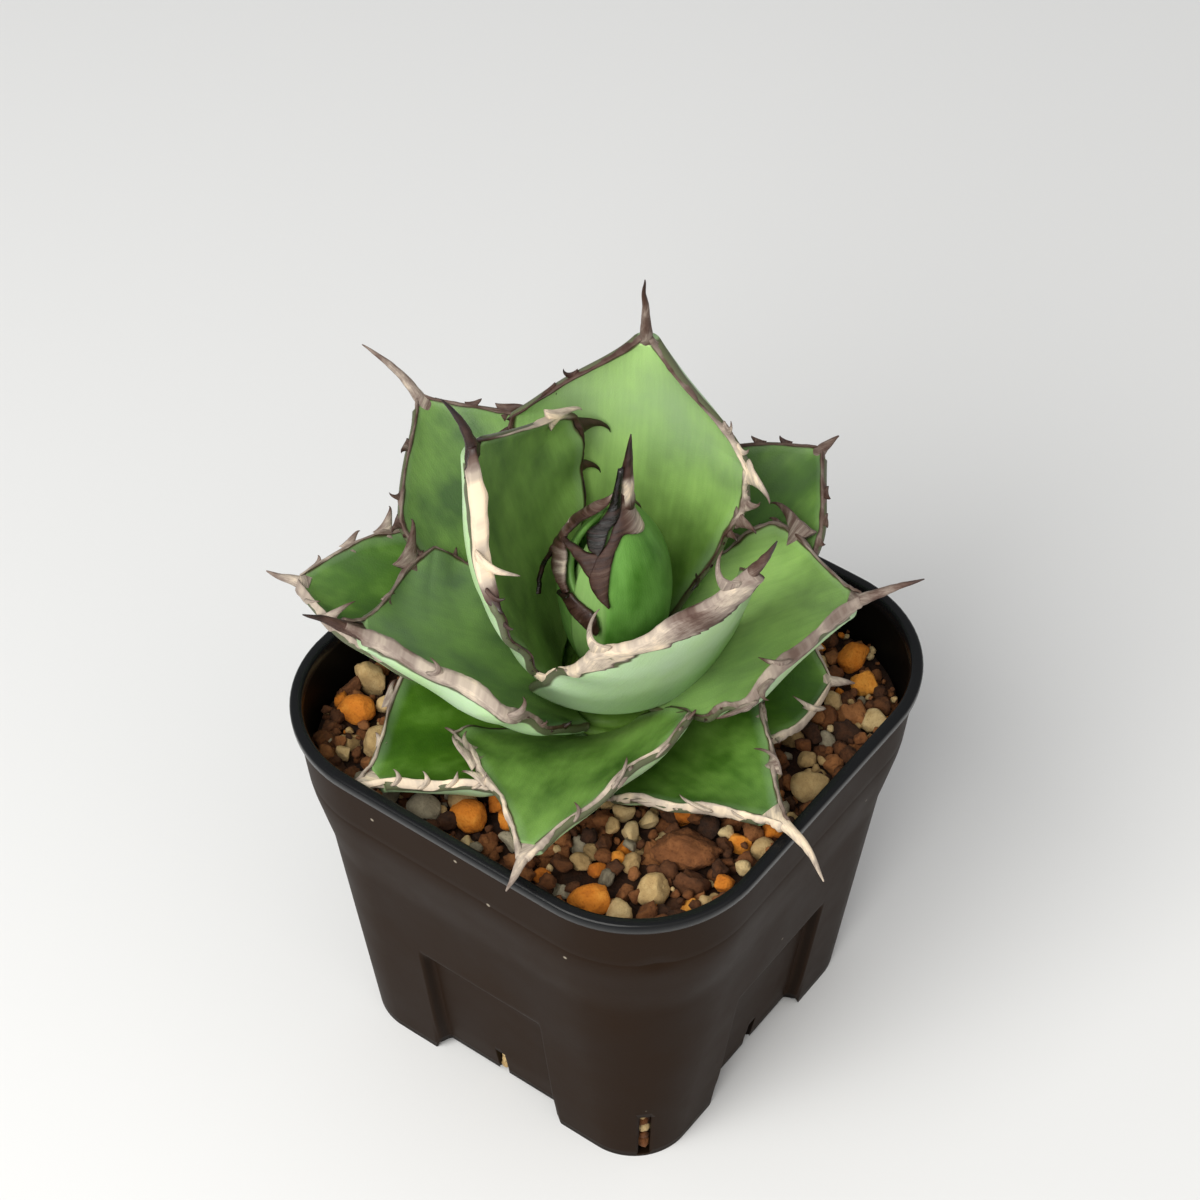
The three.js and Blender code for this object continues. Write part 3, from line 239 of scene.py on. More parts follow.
        teeth=[[-1, 0.77, 5, 0.5, 0], [-1, 0.87, 3.3, -0.9, 0], [-1, 0.95, 1.2, 0.6, 0], [-1, 0.6, 3, 0, 0],
               [1, 0.86, 0.8, -3.7, 5.5], [1, 0.93, 0.8, -1.6, 0.9], [1, 0.66, 2.5, 0, 1]],
    ),
    dict(
        name="leaf_10", azimuth=345, rise=84.5, length=45.5, lean=[59.5, 87.5], turn=2, roll=[9, 5.5],
        width=37.5, widest=0.43, root=0.4, cup=33, point=0.73, bands=[1.9, 2.2], spine=[14.5, 13.5, -26],
        rims=[[0.2, 0.3, 0.4, 0.5, 0.6, 0.6, 0.7],
              [0.2, 0.3, 0.6, 0.8, 0.9, 0.9, 0.9]],
        crest=[0.1, 0.3], under=[0.7, 0.8], pale=[0.2, 0.1, 0.05, 0.1], wax=[0, 0, 0.02, 0.05],
        horn=[[0.9, 0.8, 0.5, 0.4, 0.4, 0.4, 0.6], [0.9, 0.6, 0.3, 0.2, 0.15, 0.15, 0.1], [0.1, 0.1]],
        teeth=[[-1, 0.72, 2.9, -3.7, 1.1], [-1, 0.52, 2.6, -0.5, 0], [-1, 0.84, 0.8, -1.5, 0.8],
               [-1, 0.38, 2, 0, 0], [1, 0.77, 0.8, -2.5, 5], [1, 0.56, 1.5, -2.2, 0.4],
               [1, 0.4, 2.5, 0, 0]],
    ),
    dict(
        name="leaf_11", azimuth=124, rise=89.5, length=50, lean=[62, 80], turn=4, roll=[0, 0],
        width=40, widest=0.56, root=0.4, cup=36, point=0.5, bands=[1.6, 1.6], spine=[9, 4, 6],
        rims=[[0.2, 0.4, 0.7, 0.8, 0.8],
              [0.2, 0.4, 0.7, 0.8, 0.8]],
        crest=[0, 0], under=[0.8, 0.8], pale=[0, 0, 0.1], wax=[0.1, 0.2, 0.3],
        horn=[[0.9, 0.8, 0.6, 0.5, 0.5, 0.5], [0.9, 0.8, 0.6, 0.5, 0.5, 0.5], [0.5, 0.6]],
        teeth=[[-1, 0.85, 3, 1, 0], [-1, 0.7, 3, -1, 0.5], [-1, 0.55, 2.5, 0, 0], [-1, 0.38, 2.5, 0.5, 0],
               [1, 0.83, 3, 0.5, 0], [1, 0.68, 3.5, -1, 0], [1, 0.52, 2.5, 0.5, 0], [1, 0.38, 2, 0, 0]],
    ),
    dict(
        name="leaf_12", azimuth=244.5, rise=87, length=47, lean=[80, 86], turn=2, roll=[-7, 8],
        width=39, widest=0.58, root=0.4, cup=45, point=0.95, bands=[2.4, 1.7], spine=[1.6, -25, 2],
        rims=[[0.2, 0.3, 0.4, 0.5, 0.6, 0.75, 0.8, 0.8],
              [0.2, 0.3, 0.4, 0.5, 0.6, 0.7, 0.7]],
        crest=[0.2, 0.1], under=[0.4, 0.6], pale=[0, 0, 0, 0], wax=[0, 0, 0, 0.02],
        horn=[[0.6, 0.4, 0.2, 0.1, 0.1, 0.15], [0.8, 0.6, 0.5, 0.4, 0.3, 0.3], [0.2, 0.2]],
        teeth=[[-1, 0.69, 3.6, -2.4, 0.2], [-1, 0.81, 1.5, 0.3, 0], [-1, 0.55, 2.5, 0.5, 0],
               [1, 0.85, 1.2, 0.5, 2.8], [1, 0.77, 1.2, 0.2, 3], [1, 0.69, 2, -0.5, 2.2],
               [1, 0.61, 2, -0.8, 2.2]],
    ),
    dict(
        name="leaf_13", azimuth=34.5, rise=86.5, length=36, lean=[62, 95], turn=3, roll=[22, 10],
        width=34, widest=0.63, root=0.4, cup=38, point=0, bands=[1.6, 1.6], spine=[5, 3, -4.5],
        rims=[[0.2, 0.4, 0.7, 0.8, 0.8],
              [0.2, 0.4, 0.8, 1, 1]],
        crest=[0, 0.2], under=[0.8, 0.8], pale=[0, 0, 0.05], wax=[0, 0, 0.03],
        horn=[[0.8, 0.6, 0.4, 0.25, 0.2, 0.2], [0.8, 0.6, 0.3, 0.2, 0.2, 0.2], [0.2, 0.3]],
        teeth=[[-1, 0.9, 0.8, -4.2, 3.2], [-1, 0.7, 2.5, 0, 0], [1, 0.92, 0.8, -3.2, 0], [1, 0.8, 3, 0, 0],
               [1, 0.62, 2.5, 0.5, 0]],
    ),
    dict(
        name="leaf_14", azimuth=166, rise=85.5, length=40, lean=[69, 78], turn=-3, roll=[0, 0],
        width=36, widest=0.56, root=0.4, cup=30, point=0.4, bands=[1.6, 1.6], spine=[6, 4, 4],
        rims=[[0.2, 0.4, 0.7, 0.8, 0.8],
              [0.2, 0.4, 0.7, 0.8, 0.8]],
        crest=[0, 0], under=[0.8, 0.8], pale=[0, 0, 0.1], wax=[0.1, 0.2, 0.3],
        horn=[[0.9, 0.8, 0.6, 0.5, 0.5, 0.5], [0.9, 0.8, 0.6, 0.5, 0.5, 0.5], [0.5, 0.6]],
        teeth=[[-1, 0.84, 2.5, 1, 0], [-1, 0.68, 3, -1, 0.5], [-1, 0.5, 2.5, 0, 0], [1, 0.86, 2.5, 0, 0],
               [1, 0.7, 3, 0.5, 0.5], [1, 0.54, 2.5, -0.5, 0], [1, 0.4, 2, 0, 0]],
    ),
]

# The skins of the two wrapped leaves of the bud: the depth below the egg's surface, the heights of
# the root and tip, and the two edges in degrees from root to tip. Where a fold is given, the skin
# on its lower side is tucked in under the shield.
BUD_LEAVES = [
    dict(
        name="bud_leaf_left", depth=2.2, bottom=101, top=139, low=[126, 124, 134, 146, 156],
        high=[300, 300, 299, 296, 283, 258, 228, 212, 215], fold=None, pale=0.35,
    ),
    dict(
        name="bud_leaf_right", depth=0, bottom=101, top=143, low=[262, 260, 262, 262, 280],
        high=[471, 466, 460, 456, 446], fold=[300, 300, 301, 301, 302, 301, 298, 310, 360], pale=0.1,
    ),
]
TUCK = 1.7

# The dry horny edges of the bud's leaves, as strips that lie over the egg. Each has two edges, which
# are lists of [degrees, height, out from the egg's surface], and the horn's colour along both.
BUD_STRIPS = dict(
    bud_leaf_left=[
        dict(
            left=[[292, 146.4, 0.4], [219.5, 142.6, 0.6], [196.5, 137.7, 0.9], [200, 134.5, 1]],
            right=[[283, 144, 0.4], [248, 141, 0.5], [225.5, 137.8, 0.7], [222, 134.5, 0.9]],
            tones=[[0.5, 0.7, 0.75, 0.35], [0.9, 0.9, 1, 0.8]],
        ),
        dict(
            left=[[198, 135.5, 1], [203, 131.5, 0.9], [209.5, 128.9, 0.8], [215, 125.6, -0.2],
                  [234.5, 125.3, -0.5], [250, 124.5, -0.5]],
            right=[[216, 136, 0.9], [223, 132.7, 0.3], [237, 131.2, -0.2], [244, 129.1, -0.4],
                   [250, 126.5, -0.4], [259, 125.5, -0.4]],
            tones=[[0.4, 0.85, 0.95, 0.95, 0.9, 0.9], [0.3, 0.75, 0.4, 0.2, 0.6, 1]],
        ),
        dict(
            left=[[246, 124.4, -0.2], [254, 125, 0.2], [262, 125.6, 0.4]],
            right=[[248, 123.6, -0.2], [257, 124.2, 0.2], [263, 125.2, 0.4]],
            tones=[[1.2, 1.2, 1.2], [1.2, 1.2, 1.2]],
        ),
        dict(
            left=[[248.5, 123.8, -0.5], [259.5, 122.2, -0.6], [273, 120.5, -0.6], [285, 118.6, -0.7],
                  [292, 117, -0.9]],
            right=[[262, 125.5, -0.5], [274, 124.3, -0.6], [285.5, 123.4, -0.6], [293, 122.2, -0.7],
                   [297, 119, -0.9]],
            tones=[[0.9, 0.85, 0.85, 0.9, 0.95], [0.95, 0.9, 0.9, 0.95, 1]],
        ),
        dict(
            left=[[209, 129.5, 0.8], [211, 125, 1.2], [216, 121.7, 1.5], [224, 119.3, 1.4]],
            right=[[214, 129.5, 0.8], [214.5, 125, 1.2], [218.5, 121.7, 1.5], [224.3, 119.3, 1.4]],
            tones=[[1.1, 1.2, 1.2, 1.2], [1.1, 1.2, 1.2, 1.2]],
        ),
        dict(
            left=[[126, 101, -2], [124, 111, -2], [134, 120, -2], [146, 130, -2], [156, 139, -1.6]],
            right=[[134, 101, -2], [131, 111, -2], [141, 120, -2], [156, 130, -2], [176, 139, -1.6]],
            tones=[[0.9, 0.9], [0.9, 0.9]],
        ),
    ],
    bud_leaf_right=[
        dict(
            left=[[303, 126, 0.5], [292.5, 128, 0.6], [281, 131.5, 0.8], [284, 134.8, 0.8], [297, 137.5, 0.6],
                  [305.5, 140.3, 0.6], [322, 142.8, 0.5], [332, 146.5, 0.5]],
            right=[[306, 126, 0.5], [303.5, 128.3, 0.6], [304, 132.1, 0.6], [306.5, 134.7, 0.6],
                   [313, 137, 0.6], [330, 138.7, 0.6], [373, 138, 0.6], [397, 142.5, 0.4]],
            tones=[[0.9, 0.9, 0.8, 0.9, 0.95, 1, 0.95, 0.7], [0.95, 0.9, 0.75, 0.9, 0.9, 0.9, 0.1, 0.4]],
        ),
        dict(
            left=[[282, 131.2, 0.8], [265.5, 133.2, 1], [247, 134, 1.3], [227.5, 134.6, 1.7]],
            right=[[286.5, 135.5, 0.8], [271, 135.3, 1], [249, 135.3, 1.3], [227.5, 134.8, 1.7]],
            tones=[[0.85, 0.9, 0.9, 0.9], [0.9, 0.9, 0.9, 0.9]],
        ),
        dict(
            left=[[286, 135.6, 1], [272, 136, 1], [262.5, 137.2, 1], [255.5, 138.6, 1], [268.5, 140.5, 1],
                  [286, 143.8, 0.9], [296.5, 148.3, 0.8], [306, 152.3, 0.5]],
            right=[[288, 135.7, 1], [292.5, 137.1, 1], [296, 139.6, 1], [303, 140.6, 1], [310, 141.2, 1],
                   [326, 143.8, 0.9], [326, 147.7, 0.8], [335, 152.6, 0.5]],
            tones=[[1.2, 1.3], [1.3, 1.25]],
        ),
        dict(
            left=[[103, 101, 0.2], [98, 111.5, 0.2], [92, 122, 0.2], [87, 132.5, 0.2], [60, 143, 0.2]],
            right=[[111, 101, 0.2], [106, 111.5, 0.2], [100, 122, 0.2], [96, 132.5, 0.2], [86, 143, 0.2]],
            tones=[[0.9, 0.9], [0.9, 0.9]],
        ),
    ],
)
# The spine over the shield: the heights of its root and tip, the height and direction in degrees of
# the skin that it grows from, its radius, and its colours from root to tip.
BUD_SPINE = SimpleNamespace(
    root=141, tip=160, foot=143, toward=16, radius=2.15,
    tones=[0.95, 0.9, 0.35, 0.05, 0.1, 0.8, 0.9, 0.95, 0.95, 0.9, 0.9],
)
SHEATH_PROFILE = BUD_PROFILE + [[150, 2], [160, 0.3]]

# Larger stones on the soil: [node, kind, x, y, length, width, height, turn in degrees].
STONES = [
    ["stone_brown_large", "brown", 33, -19.5, 13, 9, 8, 20],
    ["stone_orange_front", "orange", 25.5, -40, 9, 7, 6.5, 50],
    ["stone_orange_left", "orange", -6, -37.5, 8, 6.5, 6, 10],
    ["stone_orange_back", "orange", 31, 41.5, 7.5, 6, 6, 80],
    ["stone_orange_far_left", "orange", -41, -29, 7.5, 6, 6, 30],
    ["stone_cream_front", "cream", 33.5, -31, 7.5, 6, 6, 100],
    ["stone_cream_right", "cream", 43, 8, 8.5, 6.5, 6, 60],
    ["stone_tan_left", "cream", -31.5, -33.5, 8, 6.5, 6, 140],
    ["stone_grey_left", "grey", -14.5, -41, 7, 6, 5.5, 0],
]
STONE_SINK = 0.35
STONE_CHIPS = 7
STONE_ROUGH = dict(brown=0.13, orange=0.035, cream=0.045, grey=0.04)

# Grains that show in the slits: [kind, the slit's direction in degrees, height, half size].
SLIT_GRAINS = [
    ["brown", 315, 4, 1.6], ["brown", 315, 6.8, 1.6], ["cream", 315, 9.5, 1.5], ["brown", 315, 12, 1.6],
    ["cream", 315, 14.5, 1.5], ["cream", 270, 4, 1.5], ["cream", 270, 6, 1.4], ["cream", 270, 8, 1.5],
]

# Single grains that stand out on the soil: [kind, x, y, size].
MARKED_GRAINS = [
    ["cream", 26.3, -27.8, 4.6], ["cream", 18.2, -33.8, 4.6], ["cream", 44.4, -16.6, 4.4],
    ["cream", -9.5, -34.7, 6.8], ["cream", 17.8, -18.6, 4.8], ["cream", 22.4, -17.4, 3.6],
    ["cream", 38.5, 13.6, 5.2], ["cream", 33, 16.7, 5.6], ["cream", 43.6, 30, 5],
    ["cream", -43.9, -20.6, 7.4], ["cream", -41.2, -13, 7], ["cream", -37.4, -24.5, 5.4],
    ["orange", 36.4, 37, 5.6], ["orange", 0.4, -33.6, 5], ["orange", -3.8, -31.3, 4.6],
    ["orange", 43.4, -21.6, 5], ["orange", 28, 26, 5.2], ["grey", 24.6, -33.6, 3.6],
    ["grey", 4.5, -37.5, 5], ["grey", 20, -41.5, 3.4], ["cream", -2, -42.8, 4.2], ["cream", -36, -39, 4],
]

# The other grains are strewn in layers: [tries, smallest and largest half size, height over the soil's
# level where nothing lies below, and how high over that level their tops may reach].
GRAIN_LAYERS = [
    [1500, 2.1, 3.5, -2.2, 3.4], [2000, 1.5, 2.6, -1.2, 3.2], [2000, 0.9, 1.5, -0.9, 2],
    [700, 0.5, 0.8, -0.8, 1.4],
]
GRAIN_ODDS = dict(brown=0.52, dark=0.2, cream=0.15, orange=0.07, grey=0.06)
# How rough each kind is and on how many sides it is chipped
GRAIN_FORMS = dict(brown=[0.2, 7], dark=[0.22, 6], cream=[0.08, 9], orange=[0.07, 8], grey=[0.09, 8])
# How close two grains lie, as a share of their half sizes, and how far they stay from the stem
GRAIN_REACH = 0.72
STEM_CLEARING = 12
LARGE_GRAIN = 1.7
SIGHT_STEP = 0.5
SIGHT_DEPTH = 0.6
SIGHT_SHARE = 0.1


# Numbers


def mix(a, b, t):
    """The value at a share t of the way from a to b."""
    return a + (b - a) * t


def smooth(low, high, x):
    """0 below low, 1 above high and a soft step between them."""
    t = np.clip((x - low) / (high - low), 0, 1)
    return t * t * (3 - 2 * t)


def along(values, t):
    """A value along a list of evenly spaced ones, on a smooth curve through them."""
    return through([[i / (len(values) - 1), value] for i, value in enumerate(values)], t)


def through(points, x):
    """The height over x of a smooth curve through [x, height] points."""
    place, height = np.array(points, float).T
    slope = np.gradient(height, place)
    x = np.clip(x, place[0], place[-1])
    i = np.clip(np.searchsorted(place, x, side="right") - 1, 0, len(place) - 2)
    step = place[i + 1] - place[i]
    t = (x - place[i]) / step
    return (
        height[i] * (1 + 2 * t) * (1 - t) ** 2 + slope[i] * step * t * (1 - t) ** 2
        + height[i + 1] * t * t * (3 - 2 * t) - slope[i + 1] * step * t * t * (1 - t)
    )


def lattice(x, y, z, seed):
    """A number from 0 to 1 that is always the same for the same point of a grid."""
    value = (x * 374761393 + y * 668265263 + z * 1440662683 + seed * 83492791) & 0xFFFFFFFF
    value = ((value ^ (value >> 13)) * 1274126177) & 0xFFFFFFFF
    return ((value ^ (value >> 16)) & 0xFFFF) / 0xFFFF


def noise(points, size, seed=0):
    """Smooth noise from -1 to 1 over points in millimetres, with lumps about size across."""
    scaled = np.asarray(points, float) / size
    corner = np.floor(scaled).astype(np.int64)
    t = scaled - corner
    t = t * t * (3 - 2 * t)
    total = 0
    for dx in (0, 1):
        for dy in (0, 1):
            for dz in (0, 1):
                weight = 1
                for axis, step in enumerate((dx, dy, dz)):
                    weight = weight * (t[..., axis] if step else 1 - t[..., axis])
                x, y, z = (corner[..., axis] + step for axis, step in enumerate((dx, dy, dz)))
                total = total + weight * lattice(x, y, z, seed)
    return 2 * total - 1


def line_noise(x, size, seed):
    """Smooth noise along a line."""
    x = np.asarray(x, float)
    return noise(np.stack([x, np.zeros_like(x), np.zeros_like(x)], -1), size, seed)


def uneven(x, layers, seed):
    """Roughness along a line from layers of noise: [depth, size, what is added to the seed]."""
    return sum(depth * line_noise(x, size, seed + shift) for depth, size, shift in layers)


def length_of(vectors):
    """The length of each vector, kept as a last axis of one."""
    return np.linalg.norm(vectors, axis=-1, keepdims=True)


def stacked(*parts):
    """Points out of their parts, which may be arrays or plain numbers."""
    return np.stack(np.broadcast_arrays(*(np.asarray(part, float) for part in parts)), -1)


# Meshes


class Shape:
    """Points in millimetres with their faces, gathered before they become one piece. Each point
    has a skin place, for patterns, and three zone values, for what is drawn at certain places."""

    def __init__(self):
        self.points = []
        self.skin = []
        self.zone = []
        self.faces = []
        self.count = 0

    def add(self, points, faces, skin=None, zone=(0, 0, 0)):
        """Take in points and their faces. Where no skin place is given, it is the point itself."""
        points = np.asarray(points, float).reshape(-1, 3)
        skin = points if skin is None else np.broadcast_to(skin, points.shape)
        self.points.append(points)
        self.skin.append(skin)
        self.zone.append(np.broadcast_to(zone, points.shape))
        self.faces.extend((np.asarray(faces) + self.count).tolist())
        self.count += len(points)

    def tube(self, rings, skin=None, zone=(0, 0, 0)):
        """A tube through rings of an even number of points, closed at its ends."""
        count, around = rings.shape[:2]
        first = self.count
        if skin is not None:
            skin = np.broadcast_to(skin, rings.shape).reshape(-1, 3)
        zone = np.broadcast_to(zone, rings.shape).reshape(-1, 3)
        self.add(rings, grid(count, around, wrap=True), skin, zone)
        self.close(first, around, flip=True)
        self.close(first + (count - 1) * around, around, flip=False)

    def sheet(self, front, back, skin, zone):
        """A closed sheet between two grids of points."""
        pairs = (front, back), (skin, skin), (zone, zone)
        self.tube(*(np.concatenate([first, second[:, ::-1]], 1) for first, second in pairs))

    def close(self, first, around, flip):
        """Close a ring with a strip of faces from side to side."""
        for j in range(around // 2 - 1):
            quad = [first + j, first + j + 1, first + around - 2 - j, first + around - 1 - j]
            self.faces.append(quad[::-1] if flip else quad)


def grid(rows, columns, wrap=False):
    """Faces between rows of points."""
    j = np.arange(columns if wrap else columns - 1)
    k = (j + 1) % columns
    i = np.arange(rows - 1)[:, None] * columns
    return np.stack([i + j, i + k, i + columns + k, i + columns + j], -1).reshape(-1, 4)


def make(name, shape, nodes, material):
    """Turn a gathered shape into a piece that stands for CAD nodes."""
    mesh = bpy.data.meshes.new(name)
    places = (np.concatenate(shape.points) + AXIS) * MM
    mesh.from_pydata(places.tolist(), [], shape.faces)
    for key, values in (("skin", shape.skin), ("zone", shape.zone)):
        layer = mesh.attributes.new(key, "FLOAT_VECTOR", "POINT")
        layer.data.foreach_set("vector", np.concatenate(values).astype(np.float32).ravel())
    solid = bmesh.new()
    solid.from_mesh(mesh)
    bmesh.ops.recalc_face_normals(solid, faces=solid.faces)
    solid.to_mesh(mesh)
    solid.free()
    mesh.polygons.foreach_set("use_smooth", [True] * len(mesh.polygons))
    mesh.materials.append(material)
    piece = bpy.data.objects.new(name, mesh)
    bpy.context.scene.collection.objects.link(piece)
    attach(piece, BODY)
    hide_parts(*nodes)
    return piece


# Materials


def colour(code):
    """A linear colour from an sRGB hex value."""
    levels = [int(code[i : i + 2], 16) / 255 for i in (1, 3, 5)]
    linear = [v / 12.92 if v <= 0.04045 else ((v + 0.055) / 1.055) ** 2.4 for v in levels]
    return (*linear, 1.0)


def add(tree, kind, inputs=None, out=0, ramp=None, **settings):
    """Add a node with its settings and inputs, by name or number, and give back an output."""
    new = tree.nodes.new("ShaderNode" + kind)
    for key, value in settings.items():
        setattr(new, key, value)
    for key, value in (inputs or {}).items():
        if isinstance(value, bpy.types.NodeSocket):
            tree.links.new(value, new.inputs[key])
        else:
            new.inputs[key].default_value = value
    for i, (place, tint) in enumerate(ramp or []):
        stop = new.color_ramp.elements[i] if i < 2 else new.color_ramp.elements.new(place)
        stop.position = place
        stop.color = tint
    return new.outputs[out]


# The inputs and the output of a node that mixes two colours
SHARE, FIRST, SECOND = 0, 6, 7
COLOURS = dict(data_type="RGBA", out=2)
# The range that nearly all values of a noise lie in
NOISE_RANGE = {"From Min": 0.3, "From Max": 0.7}


def per(millimetres):
    """The scale of a pattern whose repeat has this size, over coordinates in metres. The skin places
    are in millimetres, so there it is 1 over the size."""
    return 1000 / millimetres


def new_material(name):
    """An empty material and its nodes."""
    material = bpy.data.materials.new(name)
    material.use_nodes = True
    tree = material.node_tree
    tree.nodes.clear()
    return material, tree


def finish_material(tree, tint, roughness, height, bump, **shader):
    """Join colour, roughness and relief in a shader. bump is the relief's depth in millimetres."""
    relief = add(tree, "Bump", {"Height": height, "Distance": bump * MM, "Strength": 1.0})
    inputs = {"Base Color": tint, "Roughness": roughness, "Normal": relief}
    inputs.update({key.replace("_", " "): value for key, value in shader.items()})
    surface = add(tree, "BsdfPrincipled", inputs)
    add_output(tree, surface)


def add_output(tree, surface):
    """Show a shader on the surface."""
    output = tree.nodes.new("ShaderNodeOutputMaterial")
    tree.links.new(surface, output.inputs["Surface"])


# Leaf form


def heading(lean, azimuth):
    """The direction that leans from upright towards an azimuth, both in degrees."""
    lean, azimuth = np.radians(lean), np.radians(azimuth)
    return np.stack([np.sin(lean) * np.cos(azimuth), np.sin(lean) * np.sin(azimuth), np.cos(lean)], -1)


def turned(vector, axis, degrees):
    """A vector turned about an axis."""
    angle = np.radians(degrees)[..., None]
    along_axis = np.sum(axis * vector, -1, keepdims=True)
    return (
        vector * np.cos(angle) + np.cross(axis, vector) * np.sin(angle)
        + axis * along_axis * (1 - np.cos(angle))
    )


def rib_at(leaf, share):
    """The midrib's point at a share of its length, with its direction, its left and its face."""
    share = np.asarray(share, float)
    t = share[..., None] * (np.arange(RIB_STEPS) + 0.5) / RIB_STEPS
    path = heading(mix(*leaf.lean, t), leaf.azimuth + leaf.turn * t)
    start = ROOT_RADIUS * heading(90, leaf.azimuth) + [0, 0, leaf.rise]
    point = start + path.sum(-2) * (leaf.length * share / RIB_STEPS)[..., None]
    azimuth = leaf.azimuth + leaf.turn * share
    forward = heading(mix(*leaf.lean, share), azimuth)
    left = heading(np.full_like(share, 90), azimuth + 90)
    face = np.cross(forward, left)
    roll = mix(*leaf.roll, share)
    return point, forward, turned(left, forward, roll), turned(face, forward, roll)


def plain_half(leaf, share):
    """Half the leaf's width along its curved section, without the lobes that carry the teeth."""
    rise = leaf.root + (1 - leaf.root) * np.sin(np.pi / 2 * np.clip(share / leaf.widest, 0, 1))
    u = np.clip((share - leaf.widest) / (1 - leaf.widest), 0, 1)
    fall = (1 - TIP_BLUNT) * (1 - u * u) * (1 - leaf.point * u) + TIP_BLUNT
    return leaf.width / 2 * np.where(share < leaf.widest, rise, fall)


def of_side(pair, side):
    """The left or the right one of two values."""
    return pair[0 if side > 0 else 1]


def rim_width(leaf, share, side):
    """How far the horny edge reaches in over the face."""
    return np.maximum(along(of_side(leaf.rims, side), share), LEAST_RIM)


def blade_end(leaf):
    """How far along the green blade reaches before its two horny edges meet."""
    share = np.arange(1, 0.5, -0.004)
    return share[plain_half(leaf, share) >= max(leaf.bands) + CLEARANCE + GREEN_END_HALF][0]


def half_width(leaf, share, side):
    """Half the width to the outer side of the horny edge, which swells out to each tooth."""
    half = plain_half(leaf, share)
    for tooth_side, place, out, _, up in leaf.teeth:
        if tooth_side == side:
            lobe = LOBE_HEIGHT * math.hypot(out, up)
            half = half + lobe * np.exp(-(((share - min(place, LAST_TOOTH)) / LOBE_LENGTH) ** 2))
    return half


def face_at(leaf, share, across):
    """Points of the leaf's upper face at distances across from the midrib, with the normals there,
    the directions across and the direction along."""
    point, forward, left, face = rib_at(leaf, share)
    half = np.where(across < 0, half_width(leaf, share, -1), half_width(leaf, share, 1))
    arc = np.radians(leaf.cup) * (ROOT_CUP + (1 - ROOT_CUP) * np.clip(share / 0.5, None, 1))
    radius = half / arc
    angle = across / radius
    cos, sin = np.cos(angle)[..., None], np.sin(angle)[..., None]
    normal = face * cos - left * sin
    outward = left * cos + face * sin
    edge = np.clip(np.abs(across) / half, 0, 1.1)
    swell = np.sin(np.pi * np.clip(share, 0, 1))
    phase = np.radians(leaf.azimuth) + np.where(across < 0, 2, 0)
    wave = WAVE_HEIGHT * swell * edge**3 * np.sin(2 * np.pi * WAVE_COUNT * share + phase)
    bend = left * sin + face * (1 - cos)
    point = point + bend * radius[..., None] + normal * wave[..., None]
    return point, normal, outward, forward


def thickness(leaf, share, across):
    """The blade's thickness, which thins from the midrib to the edge."""
    half = np.where(across < 0, half_width(leaf, share, -1), half_width(leaf, share, 1))
    middle = mix(ROOT_THICKNESS, TIP_THICKNESS, np.clip(share, 0, 1))
    return mix(middle, EDGE_THICKNESS, np.clip(np.abs(across) / half, 0, 1) ** 2)


# Leaf detail, which the solids leave out

BLADE_STEPS = 100
BLADE_ACROSS = 42
BLADE_INSET = 0.5
EDGE_CROWDING = 0.55
EDGE_ROUND = 0.4
SWELL_SIZE = 11
SWELL_DEPTH = 0.5
RIPPLE_SIZE = 4.2
RIPPLE_DEPTH = 0.14
BACK_WAX = 0.68
BACK_PALE = 0.66
# How far apart the leaves' skins lie in the noise, so that no two have the same pattern
SKIN_APART = 40

BAND_STEPS = 190
BAND_ROOT = 0.03
BORDER_ROUGH = [[0.3, 4.2, 0], [0.22, 1.6, 50], [0.1, 0.6, 90]]
BORDER_SWELL = 0.1
FRINGE_ROUGH = [[0.22, 2.6, 200], [0.1, 0.9, 250]]
# The horn's section over the back, from the outer edge in: [share of its width there, height over the
# back as a share of HORN_BODY, how near it is to the border with the green]
HORN_BACK = [[0.08, 0.5, 0.1], [0.4, 1, 0.3], [0.75, 1, 0.6], [0.98, 0.6, 1], [1.02, -1.5, 1]]
HORN_BODY = 0.22
HORN_ROUGH = 0.12
HORN_ROUGH_SIZE = 1.4
TOOTH_STEPS = 18
PRICKLE_STEPS = 7
PRICKLE_SINK = 0.3
PRICKLE_APART = 2.2
SPINE_STEPS = 34
SPINE_ON_LEAF = 12
SPINE_DRAW = 0.16


def border(leaf, share, side):
    """How far the horn reaches in over the green: ragged, and further where it carries a tooth."""
    at = share * leaf.length
    seed = leaf.seed * 2 + (side > 0)
    width = rim_width(leaf, share, side) * (1 + uneven(at, BORDER_ROUGH, seed))
    for tooth_side, place, out, ahead, up in leaf.teeth:
        if tooth_side == side:
            size = math.hypot(out, ahead, up)
            near = (share - min(place, LAST_TOOTH)) * leaf.length / (0.6 + 0.22 * size)
            width = width + BORDER_SWELL * size * np.exp(-(near**2))
    return width


def fringe(leaf, share, side):
    """Small notches and bumps of the outer edge."""
    return uneven(share * leaf.length, FRINGE_ROUGH, leaf.seed * 2 + (side > 0))


def relief(leaf, share, across, under):
    """Height of the soft swellings that the leaves press into each other in the bud."""
    at = stacked(across, share * leaf.length, SKIN_APART * leaf.seed) * [1, 0.6, 1]
    edge = np.clip(np.abs(across) / plain_half(leaf, share), 0, 1)
    calm = (1 - edge**4) * np.clip(share / 0.2, 0, 1)
    swell = SWELL_DEPTH * noise(at, SWELL_SIZE, 3 + under)
    ripple = RIPPLE_DEPTH * noise(at, RIPPLE_SIZE, 5 + under)
    return (swell + ripple) * calm


